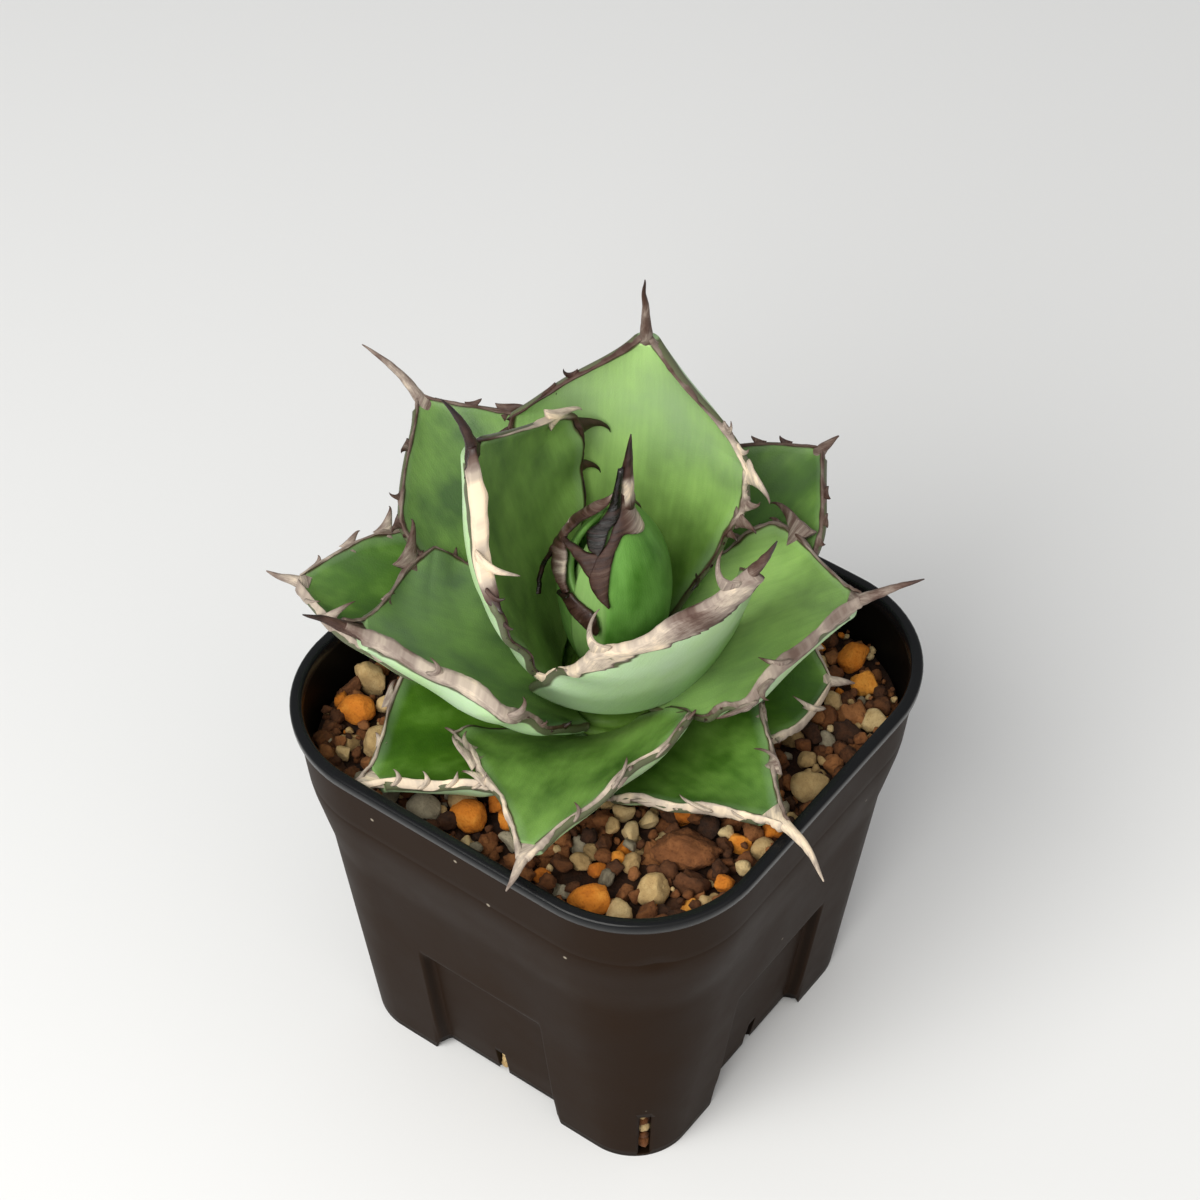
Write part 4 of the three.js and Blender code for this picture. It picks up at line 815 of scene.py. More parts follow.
def make_blade(leaf, material):
    """The green blade: an upper face and a back, with a rounded edge between them. Its points stand
    closer together by the edges."""
    shape = Shape()
    share = np.linspace(-0.01, blade_end(leaf) + 0.015, BLADE_STEPS)[:, None]
    even = np.linspace(1, -1, BLADE_ACROSS)[None, :]
    u = mix(even, np.sin(even * np.pi / 2), EDGE_CROWDING)
    right = u < 0
    reach = [half_width(leaf, share, s) - BLADE_INSET * rim_width(leaf, share, s) for s in (-1, 1)]
    across = np.where(right, *reach) * u
    point, normal, outward, _ = face_at(leaf, share, across)
    thick = thickness(leaf, share, across)
    top = point + normal * relief(leaf, share, across, 0)[..., None]
    bottom = point - normal * (thick + 0.5 * relief(leaf, share, across, 1))[..., None]
    # A point between the two faces rounds each edge.
    fold = [point[:, [j]] - normal[:, [j]] * thick[:, [j], None] / 2 + outward[:, [j]] * EDGE_ROUND * s
            for j, s in ((0, 1), (-1, -1))]
    rings = np.concatenate([top, fold[1], bottom[:, ::-1], fold[0]], axis=1)
    place = stacked(across, share * leaf.length, SKIN_APART * leaf.seed)
    room = [half_width(leaf, share, s) - np.abs(across) - border(leaf, share, s) for s in (-1, 1)]
    gap = np.where(right, *room)
    zone = stacked(along(leaf.pale, share), gap, along(leaf.wax, share))
    back = stacked(BACK_PALE, gap, BACK_WAX)
    skin = np.concatenate([place, place[:, [-1]], place[:, ::-1], place[:, [0]]], axis=1)
    zones = np.concatenate([zone, back[:, [-1]], back[:, ::-1], back[:, [0]]], axis=1)
    shape.tube(rings, skin, zones)
    make(f"{leaf.name}_skin", shape, [f"{leaf.name}_blade"], material)


def band_section(leaf, share, side):
    """The horny edge's closed section at each share: distance in from the outer edge and height over
    the upper face, with how near each point is to the border with the green."""
    at = share * leaf.length
    seed = leaf.seed + 3 * side
    half = half_width(leaf, share, side)
    width = np.minimum(border(leaf, share, side), half + 0.2)
    full = smooth(0.25, 1.2, width)
    below = of_side(leaf.under, side) * width * (1 + 0.25 * line_noise(at, 3, seed + 300))
    peel = full * (0.06 + 0.4 * np.clip(line_noise(at, 4.5, seed + 400), 0, 1))
    ridge = of_side(leaf.crest, side) * width / np.max(width) * (1 + 0.3 * line_noise(at, 3.5, seed + 450))
    crown = full * (0.26 + 0.12 * line_noise(at, 1.3, seed + 500))
    edge = EDGE_THICKNESS * full
    over_face = [
        [1, -0.5 * full, 1], [0.98, peel, 1], [0.86, peel + 0.04 + 0.1 * ridge, 0.75],
        [0.6, crown + 0.4 * ridge, 0.4], [0.34, crown + 0.85 * ridge, 0.2], [0.08, 0.6 * crown + ridge, 0.1],
    ]
    points = [(width * inward, height, near) for inward, height, near in over_face]
    for height in (0.35 * ridge - 0.15 * edge, -0.4 * edge, -0.7 * edge):
        points.append((np.full_like(share, -0.1), height, 0))
    for inward, height, near in HORN_BACK:
        depth = mix(0.4, thickness(leaf, share, half - below * inward), full)
        points.append((below * inward, -depth - HORN_BODY * height * full, near))
    return points


def make_band(shape, leaf, side):
    """The horny edge of one side, from the leaf's root to its tip."""
    share = np.linspace(BAND_START - BAND_ROOT, 1, BAND_STEPS)[:, None]
    outer = half_width(leaf, share, side) + fringe(leaf, share, side)
    ring, skin, zone = [], [], []
    tone = along(of_side(leaf.horn, side), share)
    for inward, height, near in band_section(leaf, share, side):
        across = np.maximum(outer - inward, -0.3)
        point, normal, _, _ = face_at(leaf, share, across * side)
        ring.append(point + normal * (np.zeros_like(share) + height)[..., None])
        skin.append(stacked(inward, share * leaf.length, SKIN_APART * leaf.seed + 15 * side))
        zone.append(stacked(tone, near, 0))
    shape.tube(np.concatenate(ring, 1), np.concatenate(skin, 1), np.concatenate(zone, 1))


def bezier(a, b, c, d, t):
    """Points along the curve from a to d that b and c draw towards them."""
    t = t[:, None]
    return a * (1 - t) ** 3 + 3 * b * t * (1 - t) ** 2 + 3 * c * t * t * (1 - t) + d * t**3


def horn(shape, points, across, upright, side, tone, point_tone, seed, sides=12):
    """A tapered horn along points, rough along its length. Its section is an oval, whose half sizes
    are across, towards the given side, and upright. tone and point_tone colour its root and point."""
    forward = np.gradient(points, axis=0)
    forward = forward / length_of(forward)
    broad = side - forward * np.sum(side * forward, -1, keepdims=True)
    broad = broad / length_of(broad)
    narrow = np.cross(forward, broad)
    angle = np.linspace(0, 2 * np.pi, sides, endpoint=False)[None, :, None]
    spokes = (
        broad[:, None] * np.cos(angle) * across[:, None, None]
        + narrow[:, None] * np.sin(angle) * upright[:, None, None]
    )
    rough = HORN_ROUGH * noise(points[:, None] + spokes, HORN_ROUGH_SIZE, seed)[..., None]
    rings = points[:, None] + spokes * (1 + rough * (across > 0.25)[:, None, None])
    t = np.linspace(0, 1, len(points))
    run = np.concatenate([[0], np.cumsum(length_of(np.diff(points, axis=0))[:, 0])])
    skin = stacked(across[:, None] * angle[..., 0], run[:, None], 7 * seed)
    zone = stacked(mix(tone, point_tone, t)[:, None], 0, t[:, None])
    shape.tube(rings, skin, zone)


def make_tooth(shape, leaf, tooth, seed):
    """A tooth that flares out of the horny edge and hooks at its point."""
    side, place, out, ahead, up = tooth
    share = np.array([min(place, LAST_TOOTH)])
    edge = side * half_width(leaf, share, side)
    point, normal, outward, forward = (v[0] for v in face_at(leaf, share, edge))
    away = outward * side
    size = math.hypot(out, ahead, up)
    root = point - normal * EDGE_THICKNESS / 2 - away * TOOTH_SINK
    tip = root + away * (out + TOOTH_SINK) + forward * ahead + normal * up
    middle = root + away * (TOOTH_SINK + 0.45 * size) + forward * 0.1 * ahead + normal * 0.2 * up
    hook = away * -0.12 * size + forward * 0.16 * size * np.sign(ahead or 1)
    t = np.linspace(0, 1, TOOTH_STEPS)
    path = bezier(root, middle, tip - hook * 0.4 - (tip - middle) * 0.15, tip + hook * 0.5, t)
    radius = TOOTH_RADIUS * (0.5 + 0.08 * size)
    flare = 1.3 + 0.11 * size
    across = radius * (1.1 * (1 - t) ** 1.1 + flare * np.exp(-t / 0.18) + 0.05)
    upright = radius * (0.66 * (1 - t) ** 0.75 + 0.12 * np.exp(-t / 0.15) + 0.06)
    base = along(of_side(leaf.horn, side), share)[0]
    horn(shape, path, across, upright, forward, base, min(base + 0.2, 1), seed)


def make_prickles(shape, leaf, side, rng):
    """Small teeth between the large ones, where the horn is narrow."""
    at = BAND_START * leaf.length + 2
    taken = [min(place, LAST_TOOTH) * leaf.length for s, place, *_ in leaf.teeth if s == side]
    while at < leaf.length * 0.8:
        size = rng.uniform(0.35, 0.95)
        ahead = rng.uniform(-0.8, 0.6) * size
        lift = rng.uniform(0, 0.4) * size
        share = np.array([at / leaf.length])
        narrow = rim_width(leaf, share, side)[0] < 1
        if narrow and all(abs(at - other) > PRICKLE_APART for other in taken):
            edge = side * half_width(leaf, share, side)
            point, normal, outward, forward = (v[0] for v in face_at(leaf, share, edge))
            away = outward * side
            root = point - normal * EDGE_THICKNESS / 2 - away * PRICKLE_SINK
            tip = root + away * (size + PRICKLE_SINK) + forward * ahead + normal * lift
            middle = root + away * (0.6 * size + PRICKLE_SINK)
            t = np.linspace(0, 1, PRICKLE_STEPS)
            path = bezier(root, mix(root, middle, 0.6), middle, tip, t)
            width = (0.25 + 0.22 * size) * (1.6 * (1 - t) + 0.08)
            tone = along(of_side(leaf.horn, side), share)[0]
            horn(shape, path, width, 0.5 * width, forward, tone, min(tone + 0.25, 1), 3, sides=6)
        at += rng.uniform(2.8, 7)


def make_spine(shape, leaf):
    """The terminal spine: a flat root over the leaf's tip that draws in to a bent point."""
    length, lean, turn = leaf.spine
    share = np.linspace(blade_end(leaf) - 0.012, 1, SPINE_ON_LEAF)
    half = np.minimum(half_width(leaf, share, 1), half_width(leaf, share, -1))
    point, normal, _, _ = face_at(leaf, share, np.zeros_like(share))
    on_leaf = point - normal * 0.5 * EDGE_THICKNESS
    grow = np.linspace(0, 1, len(share))
    flat = np.maximum(half + 0.15, SPINE_RADIUS * grow)
    rise = mix(0.7, SPINE_RADIUS, smooth(0, 1, grow))
    t = (np.arange(SPINE_STEPS) + 0.5) / SPINE_STEPS
    path = heading(leaf.lean[1] + lean * t, leaf.azimuth + leaf.turn + turn * t)
    _, _, left, _ = rib_at(leaf, np.array([1.0]))
    free = on_leaf[-1] + np.cumsum(path * length / SPINE_STEPS, axis=0)
    t = np.arange(1, SPINE_STEPS + 1) / SPINE_STEPS
    wobble = 0.25 * smooth(0.1, 0.6, t) * line_noise(t * length, 4, leaf.seed + 600)
    free = free + left * wobble[:, None]
    spread = max(flat[-1] - SPINE_RADIUS, 0) * np.exp(-t / SPINE_DRAW)
    taper = SPINE_POINT + (SPINE_RADIUS - SPINE_POINT) * (1 - t) ** 0.85 + spread
    points = np.concatenate([on_leaf, free])
    across = np.concatenate([flat, taper])
    upright = np.concatenate([rise, np.minimum(taper, SPINE_RADIUS)])
    horn(shape, points, across, upright, left[0], *leaf.horn[2], leaf.seed + 11, sides=16)


def make_margin(leaf, material):
    """A leaf's horn in one piece: both edges with their teeth and prickles, and the spine."""
    shape = Shape()
    rng = np.random.default_rng(leaf.seed)
    for side in (1, -1):
        make_band(shape, leaf, side)
        make_prickles(shape, leaf, side, rng)
    make_spine(shape, leaf)
    for i, tooth in enumerate(leaf.teeth):
        make_tooth(shape, leaf, tooth, i + 20)
    make(f"{leaf.name}_horn", shape, [f"{leaf.name}_margin"], material)


# Bud

BUD_ROWS = 60
BUD_ACROSS = 72
STRIP_ROWS = 60
STRIP_ACROSS = 9
STRIP_DOME = 1.4
STRIP_THICKNESS = 0.6
BUD_SPINE_STEPS = 44
# Zone values of a skin that is young and pale, and of one that is far from any horn
YOUNG = 0.9
NO_EDGE = 9


def bud_axis(z):
    """The middle of the bud at a height; it leans a little at the top."""
    t = (z - BUD_PROFILE[0][0]) / (BUD_PROFILE[-1][0] - BUD_PROFILE[0][0])
    return np.stack([BUD_LEAN * t * t, BUD_LEAN * t * t, z], -1)


def bud_point(z, radius, degrees):
    """Points round the bud's middle."""
    z, radius, degrees = np.broadcast_arrays(np.asarray(z, float), radius, degrees)
    angle = np.radians(degrees)
    return bud_axis(z) + np.stack([radius * np.cos(angle), radius * np.sin(angle), np.zeros_like(z)], -1)


def bud_skin(leaf, material):
    """The green skin of a wrapped leaf."""
    share = np.linspace(0, 1, BUD_ROWS)[:, None]
    z = mix(leaf.bottom, leaf.top, share)
    angle = mix(along(leaf.low, share), along(leaf.high, share), np.linspace(0, 1, BUD_ACROSS)[None, :])
    tucked = np.zeros_like(angle)
    if leaf.fold:
        fold = along(leaf.fold, share)
        tucked = 1 - smooth(fold - 4, fold + 3, angle)
    plain = np.maximum(through(BUD_PROFILE, z) - leaf.depth, BUD_SHELL)
    ripple = 0.25 * noise(bud_point(z, plain, angle) * [1, 1, 0.5], 5, 40)
    radius = np.maximum(plain + ripple - TUCK * tucked, 0.6)
    out = bud_point(z, radius, angle)
    back = bud_point(z, np.maximum(radius - BUD_SHELL * mix(1, 0.7, share), 0.3), angle)
    skin = stacked(np.radians(angle) * 11, z, SKIN_APART)
    zone = stacked(mix(leaf.pale, YOUNG, tucked), NO_EDGE, 0)
    shape = Shape()
    shape.sheet(out, back, skin, zone)
    make(f"{leaf.name}_skin", shape, [f"{leaf.name}_blade"], material)


def bud_strip(shape, strip):
    """A dry strip over the egg between its two edges, slightly domed and uneven."""
    t = np.linspace(0, 1, STRIP_ROWS)[:, None]
    u = np.linspace(0, 1, STRIP_ACROSS)[None, :]
    edges = (np.array(edge, float).T for edge in (strip["left"], strip["right"]))
    angle, z, out = (mix(along(a, t), along(b, t), u) for a, b in zip(*edges))
    plain = through(SHEATH_PROFILE, z)
    at = bud_point(z, plain, angle)
    rough = 0.22 * noise(at, 2.2, 41) + 0.1 * noise(at, 0.8, 42)
    radius = np.maximum(plain + out + rough + STRIP_DOME * u * (1 - u), 0.45)
    front = bud_point(z, radius, angle)
    back = bud_point(z, np.maximum(radius - STRIP_THICKNESS - 0.8 * u * (1 - u), 0.15), angle)
    skin = stacked(np.radians(angle) * plain, z, SKIN_APART + 7)
    tone = mix(along(strip["tones"][0], t), along(strip["tones"][1], t), u)
    zone = stacked(tone, 0.6 * np.abs(2 * u - 1), 0)
    shape.sheet(front, back, skin, zone)


def bud_horn(name, material):
    """The horn of a wrapped leaf: its strips and, on the shield, the spine."""
    shape = Shape()
    for strip in BUD_STRIPS[name]:
        bud_strip(shape, strip)
    if name == "bud_leaf_right":
        spine = BUD_SPINE
        t = np.linspace(0, 1, BUD_SPINE_STEPS)
        out = through(BUD_PROFILE, spine.foot) - BUD_SHELL / 2
        aside = bud_point(spine.foot, out, spine.toward) - bud_axis(float(spine.foot))
        size = SPINE_POINT + (spine.radius - SPINE_POINT) * (1 - t) ** 0.9
        tone = along(spine.tones, t)
        path = bud_axis(mix(spine.root, spine.tip, t)) + aside
        horn(shape, path, size, size, np.array([1.0, 0, 0]), tone, tone, 31, sides=16)
    make(f"{name}_horn", shape, [f"{name}_margin"], material)


def make_heart(material):
    """The young leaves inside the bud, as one ribbed cone."""
    shape = Shape()
    z = np.linspace(BUD_PROFILE[0][0], HEART_TOP, 30)
    core = through(BUD_PROFILE, z) - HEART_DEPTH
    z = np.append(z, np.linspace(HEART_TOP, HEART_TIP, 10)[1:])
    core = np.append(core, core[-1] * (1 - np.linspace(0, 1, 10)[1:] ** 1.3) + 0.1)[:, None]
    angle = np.linspace(0, 360, 40, endpoint=False)[None, :]
    rings = bud_point(z[:, None], core + 0.4 * np.cos(np.radians(angle * 3)) * (core / 6), angle)
    shape.tube(rings, zone=(0.6, NO_EDGE, 0))
    make("bud_heart_skin", shape, ["bud_heart"], material)


def make_stem(material):
    """The stem, with the scars of fallen leaves winding round it."""
    shape = Shape()
    z = np.linspace(STEM_PROFILE[0][0], STEM_PROFILE[-1][0], 50)[:, None]
    angle = np.radians(np.linspace(0, 360, 48, endpoint=False))[None, :]
    radius = STEM_RADIUS * through(STEM_PROFILE, z)
    plain = stacked(radius * np.cos(angle), radius * np.sin(angle), z)
    scar = 0.35 * np.sin(z * 2.2 + angle * 2) + 0.25 * noise(plain, 2.5, 8)
    rings = plain * stacked(1 + scar / radius, 1 + scar / radius, 1)
    shape.tube(rings)
    make("stem_bark", shape, ["stem"], material)


# Pot


def pot_outline(z):
    """Half width and corner radius of the pot's outside below the lip."""
    levels = [0, BODY_Z, COLLAR_Z, POT_HEIGHT]
    z = np.asarray(z, float)
    reach = np.minimum(STEP_SOFT, np.minimum(z, POT_HEIGHT - z))[..., None]
    around = z[..., None] + reach * np.linspace(-1, 1, 9)
    halves = [FOOT_HALF, BODY_HALF, COLLAR_HALF, RIM_HALF - LIP_OUT]
    radii = [FOOT_RADIUS, BODY_RADIUS, COLLAR_RADIUS, RIM_RADIUS - LIP_OUT]
    return (np.interp(around, levels, values).mean(-1) for values in (halves, radii))


def soft_min(a, b, size):
    """The lower of two values, rounded over where they are within size of each other."""
    h = np.clip(0.5 + 0.5 * (b - a) / size, 0, 1)
    return mix(b, a, h) - size * h * (1 - h)


def soft_max(a, b, size):
    """The higher of two values, rounded over in the same way."""
    return -soft_min(-a, -b, size)


def pressed_in(x, z, half):
    """How far out the side lies at x across it: the panel between the corner legs is pressed in."""
    back = FOOT_HALF - PANEL_DEPTH + (BODY_HALF - FOOT_HALF) * z / BODY_Z
    depth = PANEL_DEPTH + PANEL_MOUTH
    flank = back + (np.abs(x) - (PANEL_HALF - PANEL_DRAFT)) * depth / PANEL_DRAFT
    roof = back + (z - (PANEL_ROOF_Z - PANEL_ROOF_DROP)) * depth / PANEL_ROOF_DROP
    panel = soft_max(soft_max(back, flank, PANEL_SOFT), roof, PANEL_SOFT)
    return soft_min(half, panel, PANEL_SOFT)


def underside(x, y):
    """Height of the underside: the feet stand on the ground and a cross between them is raised."""
    across = np.minimum(np.abs(x), np.abs(y))
    return UNDERSIDE_Z * (1 - smooth(PANEL_HALF - 0.6, PANEL_HALF + 0.6, across))


def side_places():
    """Places across half a side, from its middle to the corner's start, close together at the
    panel's flank."""
    return np.concatenate([np.arange(0, 13, 1.5), np.arange(13, 18, 0.25), np.linspace(18, 24, 5)])


def wall_ring(z, out, inset):
    """One ring of the wall round the pot at height z, out beyond its outline and inset from it."""
    half, radius = pot_outline(z)
    half, radius = half + out, radius + out
    across = side_places()
    across = np.concatenate([-across[:0:-1], across])
    ring = []
    for turn in range(4):
        angle = np.radians(90 * turn)
        x_axis = np.array([-math.sin(angle), math.cos(angle)])
        y_axis = np.array([math.cos(angle), math.sin(angle)])
        flat = half - radius
        x = across * flat / across[-1] if across[-1] > flat else across
        y = pressed_in(x, z, half) - inset
        ring.append(x[:, None] * x_axis + y[:, None] * y_axis)
        sweep = np.radians(np.linspace(0, 90, CORNER_STEPS + 1)[1:-1])
        bend = radius - inset
        corner_x = flat + bend * np.sin(sweep)
        corner_y = flat + bend * np.cos(sweep)
        ring.append(corner_x[:, None] * x_axis + corner_y[:, None] * y_axis)
    return np.concatenate(ring)


def wall_rows():
    """The wall's section from the foot up the outside, over the lip and down the inside, as
    [height, out beyond the outline, inset]."""
    top, under = POT_HEIGHT, POT_HEIGHT - LIP_HEIGHT
    inner = LIP_OUT + WALL
    outside = np.concatenate([
        np.linspace(2, 34, 17), np.linspace(34.5, 45, 22), np.linspace(46.5, 77.5, 24),
        [78.6, 78.9, 79.1, 79.4], np.linspace(81, 90, 6),
    ])
    inside = np.concatenate([
        np.linspace(under, 71, 8), np.linspace(70, 66, 5), np.linspace(60, 44, 4), np.linspace(42, 34, 9),
        np.linspace(30, 6, 6),
    ])
    rows = []
    for angle in np.radians(np.linspace(0, 90, 6)):
        step = FOOT_ROUND * (1 - math.sin(angle))
        rows.append([step, -step, 0])
    for z in outside:
        groove = MOULD_LINE_DEPTH if abs(z - MOULD_LINE_Z) < 0.2 else 0
        rows.append([z, -groove, 0])
    rows += [[under - LIP_OUT, 0, 0], [under - 0.3, LIP_OUT * 0.75, 0], [under + 0.2, LIP_OUT, 0]]
    rows += [[top - 1.2, LIP_OUT, 0]]
    for angle in np.radians(np.linspace(15, 90, 6)):
        rows.append([top - LIP_ROUND * (1 - math.sin(angle)), LIP_OUT, LIP_ROUND * (1 - math.cos(angle))])
    for angle in np.radians(np.linspace(90, 10, 6)):
        drop = LIP_INNER_ROUND * (1 - math.sin(angle))
        rows.append([top - drop, LIP_OUT, inner - LIP_INNER_ROUND * (1 - math.cos(angle))])
    rows += [[z, 0, WALL] for z in inside]
    return rows


def floor_rings(ring, lift):
    """Rings that draw in from a ring of the wall to the middle, lifted off the underside."""
    rings = []
    for share in np.concatenate([np.linspace(1, 0.3, 26)[1:], [0.15, 0.04]]):
        flat = ring[:, :2] * share
        rings.append(np.column_stack([flat, underside(flat[:, 0], flat[:, 1]) + lift]))
    return rings


def make_pot(material):
    """The pot as one shell: its underside, wall, lip and inner floor."""
    shape = Shape()
    rings = []
    for z, out, inset in wall_rows():
        flat = wall_ring(z, out, inset)
        lifted = z + underside(flat[:, 0], flat[:, 1]) * (1 - smooth(0, 12, z))
        rings.append(np.column_stack([flat, lifted]))
    shape.tube(np.stack(floor_rings(rings[0], 0)[::-1] + rings + floor_rings(rings[-1], FOOT_FLOOR)))
    pot = make("pot_shell", shape, ["pot"], material)
    dent(pot)
    cut_slits(pot)


def dent(pot):
    """An oval mark of the mould on the collar, at the corner that faces the viewer."""
    mesh = pot.data
    points = np.empty(len(mesh.vertices) * 3)
    mesh.vertices.foreach_get("co", points)
    points = points.reshape(-1, 3)
    x, y, z = (points / MM - AXIS).T
    out = np.hypot(x, y)
    half, radius = pot_outline(z)
    on_face = out > (half - radius) * math.sqrt(2) + radius - 0.4
    across = (np.arctan2(y, x) + math.pi / 4) * out / DENT_LENGTH
    up = (z - MOULD_LINE_Z) / DENT_HEIGHT
    depth = DENT_DEPTH * np.exp(-(across**2) - up**2) * on_face
    points[:, :2] -= np.column_stack([x, y]) * (depth / out.clip(1))[:, None] * MM
    mesh.vertices.foreach_set("co", points.ravel())


def cut_slits(pot):
    """Drainage slits at the four corners and in the four panels."""
    cutters = bmesh.new()
    for corner in range(4):
        for angle, near, low, high in SLITS:
            turn = math.radians(angle + 90 * corner)
            cos, sin = math.cos(turn), math.sin(turn)
            for vert in bmesh.ops.create_cube(cutters, size=1)["verts"]:
                x = mix(near, SLIT_REACH, vert.co.x + 0.5)
                y = SLIT_WIDTH * vert.co.y
                z = mix(low, high, vert.co.z + 0.5)
                vert.co = (Vector((x * cos - y * sin, x * sin + y * cos, z)) + Vector(AXIS)) * MM
    mesh = bpy.data.meshes.new("slit_cutter")
    cutters.to_mesh(mesh)
    cutters.free()
    cutter = bpy.data.objects.new("slit_cutter", mesh)
    bpy.context.scene.collection.objects.link(cutter)
    cut = pot.modifiers.new("slits", "BOOLEAN")
    cut.operation = "DIFFERENCE"
    cut.solver = "MANIFOLD"
    cut.object = cutter
    view = bpy.context.evaluated_depsgraph_get()
    result = bpy.data.meshes.new_from_object(pot.evaluated_get(view))
    pot.modifiers.clear()
    pot.data = result
    bpy.data.objects.remove(cutter)


# Soil


def inside_pot(x, y, z, margin):
    """Whether a place lies further than a margin inside the pot's outline."""
    half, radius = pot_outline(z)
    dx = np.maximum(np.abs(x) - (half - radius), 0)
    dy = np.maximum(np.abs(y) - (half - radius), 0)
    return np.hypot(dx, dy) < radius - margin


def ball(level):
    """Points and faces of a round mesh of even triangles, one unit in radius."""
    mesh = bmesh.new()
    bmesh.ops.create_icosphere(mesh, subdivisions=level, radius=1)
    points = np.array([vert.co[:] for vert in mesh.verts])
    faces = np.array([[vert.index for vert in face.verts] for face in mesh.faces])
    mesh.free()
    return points, faces


def lumps(points, rng, centres, sizes, rough, chips):
    """Lumps of grit: balls that are squashed, chipped flat on some sides and roughened."""
    count = len(centres)
    seeds = rng.uniform(0, 500, (count, 1, 3))
    body = np.broadcast_to(points, (count, *points.shape)).copy()
    for _ in range(chips):
        facing = rng.normal(size=(count, 1, 3))
        facing /= length_of(facing)
        reach = rng.uniform(0.5, 0.92, (count, 1, 1))
        over = np.maximum(np.sum(body * facing, -1, keepdims=True) - reach, 0)
        body = body - facing * over * 0.94
    outward = body / length_of(body)
    at = outward + seeds
    swell = 0.24 * noise(at, 0.9, 1) + rough * noise(at, 0.3, 2) + 0.5 * rough * noise(at, 0.13, 3)
    body = body * (1 + swell[..., None])
    squash = rng.uniform(0.75, 1.12, (count, 1, 3))
    spin = rng.normal(size=(count, 4))
    spin /= length_of(spin)
    w, x, y, z = spin.T
    turn = np.stack([
        np.stack([1 - 2 * (y * y + z * z), 2 * (x * y - w * z), 2 * (x * z + w * y)], -1),
        np.stack([2 * (x * y + w * z), 1 - 2 * (x * x + z * z), 2 * (y * z - w * x)], -1),
        np.stack([2 * (x * z - w * y), 2 * (y * z + w * x), 1 - 2 * (x * x + y * y)], -1),
    ], 1)
    body = np.einsum("nij,nkj->nki", turn, body * squash)
    return body * sizes[:, None, None] + centres[:, None]


def heap(rng):
    """Grains that lie on each other: the kind, place and half size of each."""
    kinds, placed = [], []
    for _, kind, x, y, length, width, height, _ in STONES:
        kinds.append("stone")
        placed.append([x, y, SOIL_Z + height * (0.5 - STONE_SINK), (length + width) / 4])
    for kind, x, y, size in MARKED_GRAINS:
        kinds.append(kind)
        placed.append([x, y, SOIL_Z + 0.1 * size, size / 2])
    for tries, low, high, level, limit in GRAIN_LAYERS:
        for _ in range(tries):
            x, y = rng.uniform(-50, 50, 2)
            size = rng.uniform(low, high)
            kind = rng.choice(list(GRAIN_ODDS), p=list(GRAIN_ODDS.values()))
            if not inside_pot(x, y, SOIL_Z, WALL + size * 0.9) or math.hypot(x, y) < STEM_CLEARING:
                continue
            others = np.array(placed)
            apart = np.hypot(others[:, 0] - x, others[:, 1] - y)
            reach = (others[:, 3] + size) * GRAIN_REACH
            on = apart < reach
            rest = SOIL_Z + level - size * 0.3
            if on.any():
                rest = max(rest, np.max(others[on, 2] + np.sqrt(reach[on] ** 2 - apart[on] ** 2) * 0.85))
            if rest + size < SOIL_Z + limit:
                kinds.append(str(kind))
                placed.append([x, y, rest, size])
    kinds, placed = np.array(kinds), np.array(placed)
    seen = in_sight(placed)
    return kinds[seen], placed[seen]


def in_sight(placed):
    """Which grains are the topmost ones somewhere, or nearly so; the others are left out."""
    line = np.arange(-52, 52, SIGHT_STEP)
    top = np.full((len(line), len(line)), -np.inf)
    spans = []
    for x, y, z, size in placed:
        near_x = np.abs(line - x) < size
        near_y = np.abs(line - y) < size
        dome = size**2 - (line[near_x][:, None] - x) ** 2 - (line[near_y][None, :] - y) ** 2
        height = np.where(dome > 0, z + np.sqrt(np.maximum(dome, 0)), -np.inf)
        span = np.ix_(near_x, near_y)
        spans.append((span, height))
        top[span] = np.maximum(top[span], height)
    return np.array([np.mean(height >= top[span] - SIGHT_DEPTH) > SIGHT_SHARE for span, height in spans])


def make_bed(material):
    """The soil under the loose grains: rough on top, and plain down its sides, where the slits show it."""
    shape = Shape()
    rings = []
    for z in np.concatenate([[3.2], np.linspace(5, 20, 9), np.linspace(25, SOIL_Z - 2.5, 10)]):
        flat = wall_ring(z, 0, WALL + 0.25)
        rings.append(np.column_stack([flat, z + 0.8 * underside(flat[:, 0], flat[:, 1])]))
    edge = rings[-1][:, :2]
    for share in np.linspace(0.97, 0.1, 30):
        flat = edge * share
        at = stacked(flat[:, 0], flat[:, 1], SOIL_Z)
        height = SOIL_Z - 2.6 + 1.1 * noise(at, 4.5, 5) + 0.6 * noise(at, 1.8, 6)
        rings.append(np.column_stack([flat, height]))
    shape.tube(np.stack(rings))
    make("soil_bed", shape, ["soil"], material)


def in_slits():
    """Grains that show in the slits: the kind, place and half size of each."""
    placed = []
    for _, angle, z, size in SLIT_GRAINS:
        half, radius = pot_outline(z)
        on_panel = angle % 90 == 0
        wall = pressed_in(0, z, half) if on_panel else (half - radius) * math.sqrt(2) + radius
        turn = math.radians(angle)
        out = wall - WALL * 0.3 - size
        placed.append([out * math.cos(turn), out * math.sin(turn), z, size])
    return np.array([row[0] for row in SLIT_GRAINS]), np.array(placed)


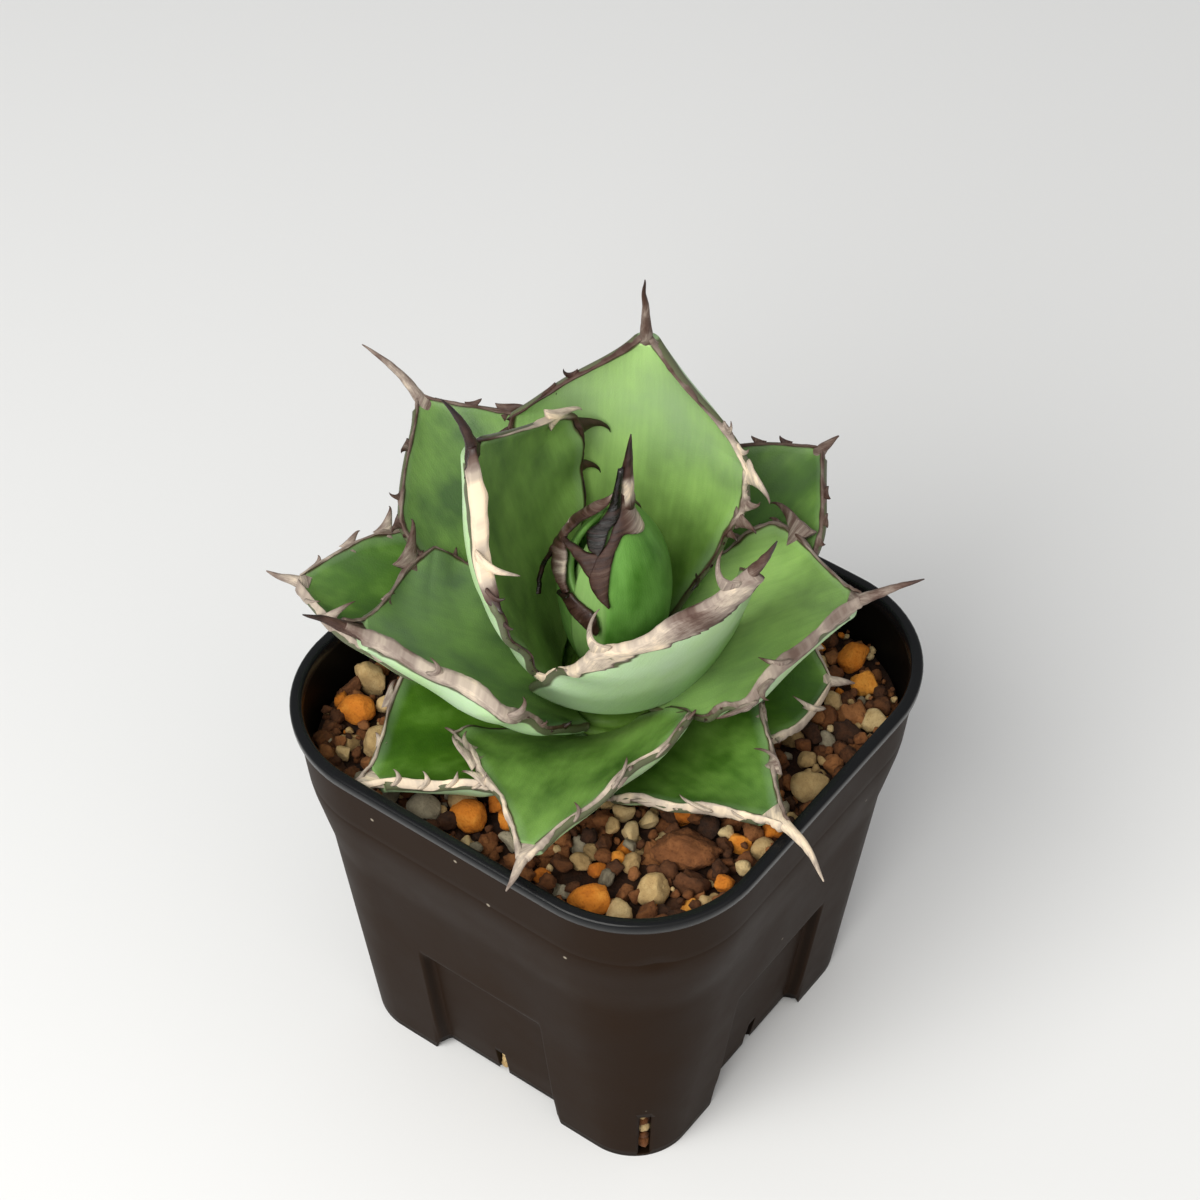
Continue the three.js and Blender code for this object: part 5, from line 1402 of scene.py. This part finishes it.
def make_grit(materials):
    """The loose grains, one piece for each kind. Large ones have a finer mesh."""
    rng = np.random.default_rng(SOIL_SEED)
    kinds, placed = (np.concatenate(pair) for pair in zip(heap(rng), in_slits()))
    fine, fine_faces = ball(3)
    plain, plain_faces = ball(2)
    for kind, (rough, chips) in GRAIN_FORMS.items():
        shape = Shape()
        for points, faces, large in ((fine, fine_faces, True), (plain, plain_faces, False)):
            chosen = (kinds == kind) & ((placed[:, 3] > LARGE_GRAIN) == large)
            if not chosen.any():
                continue
            bodies = lumps(points, rng, placed[chosen, :3], placed[chosen, 3], rough, chips)
            tones = rng.uniform(0, 1, len(bodies))
            for body, tone in zip(bodies, tones):
                shape.add(body, faces, zone=(tone, 0, 0))
        make(f"grit_{kind}", shape, ["soil"], materials[kind])


def make_stone(node, kind, x, y, length, width, height, turn, material, rng):
    """A larger stone, broken flat on some sides, open-pored where it is brown clay."""
    body, faces = ball(4)
    seed = rng.uniform(0, 500, 3)
    for _ in range(STONE_CHIPS):
        facing = rng.normal(size=3)
        facing /= np.linalg.norm(facing)
        over = np.maximum(body @ facing - rng.uniform(0.7, 0.95), 0)
        body = body - facing * over[:, None] * 0.8
    outward = body / length_of(body)
    swell = 0.14 * noise(outward + seed, 0.8, 1)
    for size, share in ((0.36, 1), (0.17, 0.7), (0.08, 0.45)):
        swell = swell + STONE_ROUGH[kind] * share * noise(outward + seed, size, 2)
    body = body * (1 + swell[:, None]) * [length / 2, width / 2, height / 2]
    turning = np.array(Matrix.Rotation(math.radians(turn), 3, "Z"))
    shape = Shape()
    body = body @ turning.T + [x, y, SOIL_Z + height * (0.5 - STONE_SINK)]
    shape.add(body, faces, zone=(0.5, 0, 0))
    make(f"{node}_lump", shape, [node], material)


# Finishes


def read_zones(tree):
    """The three zone values of a point."""
    zone = add(tree, "Attribute", attribute_name="zone", out=1)
    parts = tree.nodes.new("ShaderNodeSeparateXYZ")
    tree.links.new(zone, parts.inputs[0])
    return parts.outputs


def leaf_skin(name, deep, middle, light, bloom):
    """Living agave skin: a waxy, half-matt green that is paler and yellower where the leaf is young,
    with a blue-grey bloom of wax in patches, near the edges and all over the back."""
    material, tree = new_material(name)
    pale, gap, bloomed = read_zones(tree)
    place = add(tree, "Attribute", attribute_name="skin", out=1)
    patches = add(tree, "Mapping", {"Vector": place, "Scale": (1 / 11, 1 / 17, 1)})
    cloud = add(tree, "TexNoise", {"Vector": patches, "Scale": 1.0, "Detail": 3.0, "Roughness": 0.55})
    fibres = add(tree, "Mapping", {"Vector": place, "Scale": (1 / 0.9, 1 / 14, 1)})
    streak = add(tree, "TexNoise", {"Vector": fibres, "Scale": 1.0, "Detail": 4.0, "Roughness": 0.6})
    fine = add(tree, "TexNoise", {"Vector": place, "Scale": 1 / 0.35, "Detail": 2.0, "Roughness": 0.5})
    patchy = add(tree, "MapRange", {"Value": cloud, **NOISE_RANGE, "To Min": -0.18, "To Max": 0.18})
    young = add(tree, "Math", {0: pale, 1: patchy}, operation="ADD", use_clamp=True)
    depth = add(tree, "MapRange", {"Value": cloud, "From Min": 0.35, "From Max": 0.65})
    tint = add(tree, "Mix", {SHARE: depth, FIRST: colour(deep), SECOND: colour(middle)}, **COLOURS)
    tint = add(tree, "Mix", {SHARE: young, FIRST: tint, SECOND: colour(light)}, **COLOURS)
    streaks = add(tree, "MapRange", {"Value": streak, "From Min": 0.4, "From Max": 0.75, "To Max": 0.16})
    tint = add(tree, "Mix", {SHARE: streaks, FIRST: tint, SECOND: colour(deep)}, **COLOURS)
    rim = add(tree, "MapRange", {"Value": gap, "From Min": 4.0, "From Max": 0.3, "To Max": 0.14},
              interpolation_type="SMOOTHSTEP")
    wax = add(tree, "Math", {0: bloomed, 1: rim}, operation="MAXIMUM")
    rubbed = add(tree, "MapRange", {"Value": cloud, **NOISE_RANGE, "To Min": 1.25, "To Max": 0.7})
    wax = add(tree, "Math", {0: wax, 1: rubbed}, operation="MULTIPLY", use_clamp=True)
    tint = add(tree, "Mix", {SHARE: wax, FIRST: tint, SECOND: colour(bloom)}, **COLOURS)
    line = add(tree, "MapRange", {"Value": gap, "From Min": 0.55, "From Max": 0.1, "To Max": 0.85})
    tint = add(tree, "Mix", {SHARE: line, FIRST: tint, SECOND: colour("#3a2a1c")}, **COLOURS)
    rough = add(tree, "MapRange", {"Value": cloud, **NOISE_RANGE, "To Min": 0.36, "To Max": 0.5})
    height = add(tree, "Math", {0: streak, 1: fine}, operation="ADD")
    finish_material(
        tree, tint, rough, height, 0.06, IOR=1.42, Specular_IOR_Level=0.27, Subsurface_Weight=0.06,
        Subsurface_Radius=(0.4, 1.0, 0.2), Subsurface_Scale=0.002,
    )
    return material


# The tone at which horn is black: 1 is dark red-brown
BLACK_TONE = 1.3


def dry_horn(name):
    """Dead horn along a leaf's edge: dry, matt and fibrous. It is cream to grey-brown and darker
    red-brown where it is young, at the points and along the border with the green."""
    material, tree = new_material(name)
    tone, near, point = read_zones(tree)
    place = add(tree, "Attribute", attribute_name="skin", out=1)
    blotch = add(tree, "Mapping", {"Vector": place, "Scale": (1 / 2.2, 1 / 4.5, 1)})
    blotch = add(tree, "TexNoise", {"Vector": blotch, "Scale": 1.0, "Detail": 4.0, "Roughness": 0.6})
    fibre = add(tree, "Mapping", {"Vector": place, "Scale": (1 / 0.22, 1 / 3.2, 1)})
    fibre = add(tree, "TexNoise", {"Vector": fibre, "Scale": 1.0, "Detail": 3.0, "Roughness": 0.6})
    shift = add(tree, "MapRange", {"Value": blotch, **NOISE_RANGE, "To Min": -0.22, "To Max": 0.22})
    shade = add(tree, "Math", {0: tone, 1: shift}, operation="ADD")
    fine = add(tree, "MapRange", {"Value": fibre, **NOISE_RANGE, "To Min": -0.08, "To Max": 0.08})
    shade = add(tree, "Math", {0: shade, 1: fine}, operation="ADD")
    edge = add(tree, "MapRange", {"Value": near, "From Min": 0.72, "From Max": 1.0, "To Max": 0.4})
    shade = add(tree, "Math", {0: shade, 1: edge}, operation="ADD")
    tip = add(tree, "MapRange", {"Value": point, "From Min": 0.55, "From Max": 1.0, "To Max": 0.25})
    shade = add(tree, "Math", {0: shade, 1: tip}, operation="ADD")
    shade = add(tree, "MapRange", {"Value": shade, "From Max": BLACK_TONE})
    tint = add(tree, "ValToRGB", {"Fac": shade}, ramp=[
        (0.0, colour("#dfcbb0")), (0.15, colour("#b3a595")), (0.3, colour("#897b71")),
        (0.46, colour("#614e45")), (0.6, colour("#42281e")), (0.77, colour("#2a120d")),
        (1.0, colour("#0b0809")),
    ])
    rough = add(tree, "MapRange", {"Value": shade, "From Min": 0.5, "To Min": 0.72, "To Max": 0.25})
    height = add(tree, "Math", {0: fibre, 1: blotch}, operation="ADD")
    finish_material(tree, tint, rough, height, 0.12, IOR=1.5)
    return material


def moulded_polypropylene():
    """Press-moulded black polypropylene: nearly black, with a warm brown in its colour that is a painted
    reflection of a wooden table, and a satin sheen that fine scuffs and dust break up."""
    material, tree = new_material("moulded_polypropylene")
    place = add(tree, "TexCoord", out=3)
    haze = add(tree, "TexNoise", {"Vector": place, "Scale": per(26), "Detail": 4.0, "Roughness": 0.6})
    grain = add(tree, "TexNoise", {"Vector": place, "Scale": per(0.7), "Detail": 2.0})
    # The warm brown of these two colours is a painted reflection of a wooden table; the plastic itself is
    # nearly black.
    tint = add(tree, "Mix", {SHARE: haze, FIRST: colour("#1b1008"), SECOND: colour("#26180c")}, **COLOURS)
    # A few of the cells hold a speck of dust.
    cells = add(tree, "TexVoronoi", {"Vector": place, "Scale": per(7)})
    speck = add(tree, "MapRange", {"Value": cells, "From Min": 0.075, "From Max": 0.045})
    which = add(tree, "TexVoronoi", {"Vector": place, "Scale": per(7)}, out=1)
    chance = add(tree, "Math", {0: which, 1: 0.86}, operation="GREATER_THAN")
    speck = add(tree, "Math", {0: speck, 1: chance}, operation="MULTIPLY")
    tint = add(tree, "Mix", {SHARE: speck, FIRST: tint, SECOND: colour("#8d8475")}, **COLOURS)
    rough = add(tree, "MapRange", {"Value": haze, **NOISE_RANGE, "To Min": 0.42, "To Max": 0.54})
    # The inside, whose faces look towards the axis, is in the soil's shade.
    normal = add(tree, "NewGeometry", out=1)
    facing = add(tree, "VectorMath", {0: place, 1: normal}, out=1, operation="DOT_PRODUCT")
    inside = add(tree, "MapRange", {"Value": facing, "From Min": 0.01, "From Max": -0.01})
    tint = add(tree, "Mix", {SHARE: inside, FIRST: tint, SECOND: colour("#0c0a08")}, **COLOURS)
    level = add(tree, "SeparateXYZ", {0: place}, out=2)
    low, high = (POT_HEIGHT - 3) * MM, (POT_HEIGHT - 2) * MM
    lip = add(tree, "MapRange", {"Value": level, "From Min": low, "From Max": high})
    rough = add(tree, "Mix", {SHARE: lip, 2: rough, 3: 0.24})
    gloss = add(tree, "MapRange", {"Value": lip, "To Min": 0.045, "To Max": 0.2})
    tint = add(tree, "Mix", {SHARE: lip, FIRST: tint, SECOND: colour("#101113")}, **COLOURS)
    finish_material(tree, tint, rough, grain, 0.012, IOR=1.49, Specular_IOR_Level=gloss)
    return material


def grit(name, dark, middle, light, pore):
    """Fired or volcanic grit: matt and open-pored, with the pores' size in millimetres."""
    material, tree = new_material(name)
    tone = read_zones(tree)[0]
    place = add(tree, "Attribute", attribute_name="skin", out=1)
    pores = add(tree, "TexNoise", {"Vector": place, "Scale": 1 / pore, "Detail": 5.0, "Roughness": 0.65})
    cloud = add(tree, "TexNoise", {"Vector": place, "Scale": 1 / (4 * pore), "Detail": 3.0, "Roughness": 0.6})
    blend = add(tree, "Math", {0: cloud, 1: 0.55}, operation="MULTIPLY")
    blend = add(tree, "Math", {0: tone, 1: 0.45, 2: blend}, operation="MULTIPLY_ADD")
    tint = add(tree, "ValToRGB", {"Fac": blend}, ramp=[
        (0.15, colour(dark)), (0.5, colour(middle)), (0.85, colour(light)),
    ])
    # Painted shade: the pores' hollows, where the relief sinks, are darkened towards the dark colour.
    pore_shade = add(tree, "MapRange", {"Value": pores, "From Min": 0.44, "From Max": 0.26, "To Max": 0.55})
    tint = add(tree, "Mix", {SHARE: pore_shade, FIRST: tint, SECOND: colour(dark)}, **COLOURS)
    rough = add(tree, "MapRange", {"Value": pores, **NOISE_RANGE, "To Min": 0.95, "To Max": 0.8})
    finish_material(tree, tint, rough, pores, 0.35, IOR=1.45)
    return material


def stem_skin():
    """The stem's skin, pale green among the leaves' roots and scarred in rings by fallen leaves."""
    material, tree = new_material("stem_skin")
    place = add(tree, "TexCoord", out=3)
    cloud = add(tree, "TexNoise", {"Vector": place, "Scale": per(3), "Detail": 4.0})
    tint = add(tree, "Mix", {SHARE: cloud, FIRST: colour("#3f5c1e"), SECOND: colour("#5f8230")}, **COLOURS)
    finish_material(tree, tint, cloud, cloud, 0.3, IOR=1.45)
    return material


def studio_floor():
    """Plain pale paper."""
    material, tree = new_material("plain_paper")
    surface = add(tree, "BsdfPrincipled", {"Base Color": colour("#dfe0e1"), "Roughness": 0.9})
    add_output(tree, surface)
    return material


# Scene, with places and sizes in metres for the studio and in millimetres for the camera

FLOOR_HALF = 4
ROOM_STRENGTH = 0.5
LIGHT_TARGET = (0, 0, 0.08)
CAMERA_PLACE = (264.95, -354.41, 580.57)
CAMERA_TARGET = (-28.15, 42.72, 60)
CAMERA_LENS = 100
CAMERA_FILM = 36


def make_studio():
    """A plain pale floor, an even room and two soft lamps."""
    mesh = bpy.data.meshes.new("floor")
    corners = [(x * FLOOR_HALF, y * FLOOR_HALF, 0) for x, y in ((-1, -1), (1, -1), (1, 1), (-1, 1))]
    mesh.from_pydata(corners, [], [(0, 1, 2, 3)])
    mesh.materials.append(studio_floor())
    floor = bpy.data.objects.new("floor", mesh)
    bpy.context.scene.collection.objects.link(floor)
    world = bpy.data.worlds.new("soft_room")
    world.use_nodes = True
    sky = world.node_tree.nodes["Background"]
    sky.inputs["Color"].default_value = colour("#f0f1f2")
    sky.inputs["Strength"].default_value = ROOM_STRENGTH
    bpy.context.scene.world = world
    make_light("window", (0.02, -0.85, 0.9), 0.9, 18, "#fffdf8")
    make_light("room", (0.9, -0.35, 0.7), 1.4, 3.5, "#fff6ea")


def make_light(name, place, size, power, tint):
    """A soft square lamp that looks at the plant."""
    light = bpy.data.lights.new(name, "AREA")
    light.shape = "SQUARE"
    light.size = size
    light.energy = power
    light.color = colour(tint)[:3]
    lamp = bpy.data.objects.new(name, light)
    lamp.location = place
    lamp.rotation_euler = (Vector(LIGHT_TARGET) - Vector(place)).to_track_quat("-Z", "Y").to_euler()
    bpy.context.scene.collection.objects.link(lamp)


def make_camera():
    """The camera at the photo's place."""
    lens = bpy.data.cameras.new("camera")
    lens.lens = CAMERA_LENS
    lens.sensor_width = CAMERA_FILM
    lens.sensor_fit = "HORIZONTAL"
    camera = bpy.data.objects.new("camera", lens)
    place, target = Vector(CAMERA_PLACE) * MM, Vector(CAMERA_TARGET) * MM
    camera.location = place
    camera.rotation_euler = (target - place).to_track_quat("-Z", "Y").to_euler()
    bpy.context.scene.collection.objects.link(camera)
    bpy.context.scene.camera = camera


def main():
    """Make the camera, the studio and every piece of the plant and its pot."""
    bpy.context.scene.view_settings.view_transform = "Standard"
    make_camera()
    make_studio()
    green = leaf_skin("agave_skin", "#2e500e", "#4a721b", "#a4cc70", "#bcd6b4")
    bud_green = leaf_skin("agave_bud_skin", "#3b6620", "#60953f", "#86ad64", "#a9c7a0")
    young = leaf_skin("agave_young_skin", "#5f9a45", "#83b85c", "#b4d68c", "#b8d6b0")
    horn_finish = dry_horn("dry_horn")
    for seed, row in enumerate(LEAVES):
        leaf = SimpleNamespace(seed=seed + 1, **row)
        make_blade(leaf, green)
        make_margin(leaf, horn_finish)
    for row in BUD_LEAVES:
        bud_skin(SimpleNamespace(**row), bud_green)
        bud_horn(row["name"], horn_finish)
    make_heart(young)
    make_stem(stem_skin())
    make_pot(moulded_polypropylene())
    grits = dict(
        brown=grit("baked_clay", "#2c180b", "#6f421f", "#a06a3c", 0.5),
        dark=grit("wet_clay", "#1c0f07", "#4b2a11", "#724626", 0.5),
        cream=grit("pumice", "#8c7048", "#b89a68", "#dcc593", 0.35),
        orange=grit("soft_clay", "#8a420c", "#c8761c", "#e8a443", 0.6),
        grey=grit("grey_pumice", "#5f5748", "#8f8670", "#b7ac92", 0.35),
    )
    make_bed(grits["dark"])
    make_grit(grits)
    rng = np.random.default_rng(SOIL_SEED + 1)
    for node, kind, *place in STONES:
        make_stone(node, kind, *place, grits[kind], rng)


main()
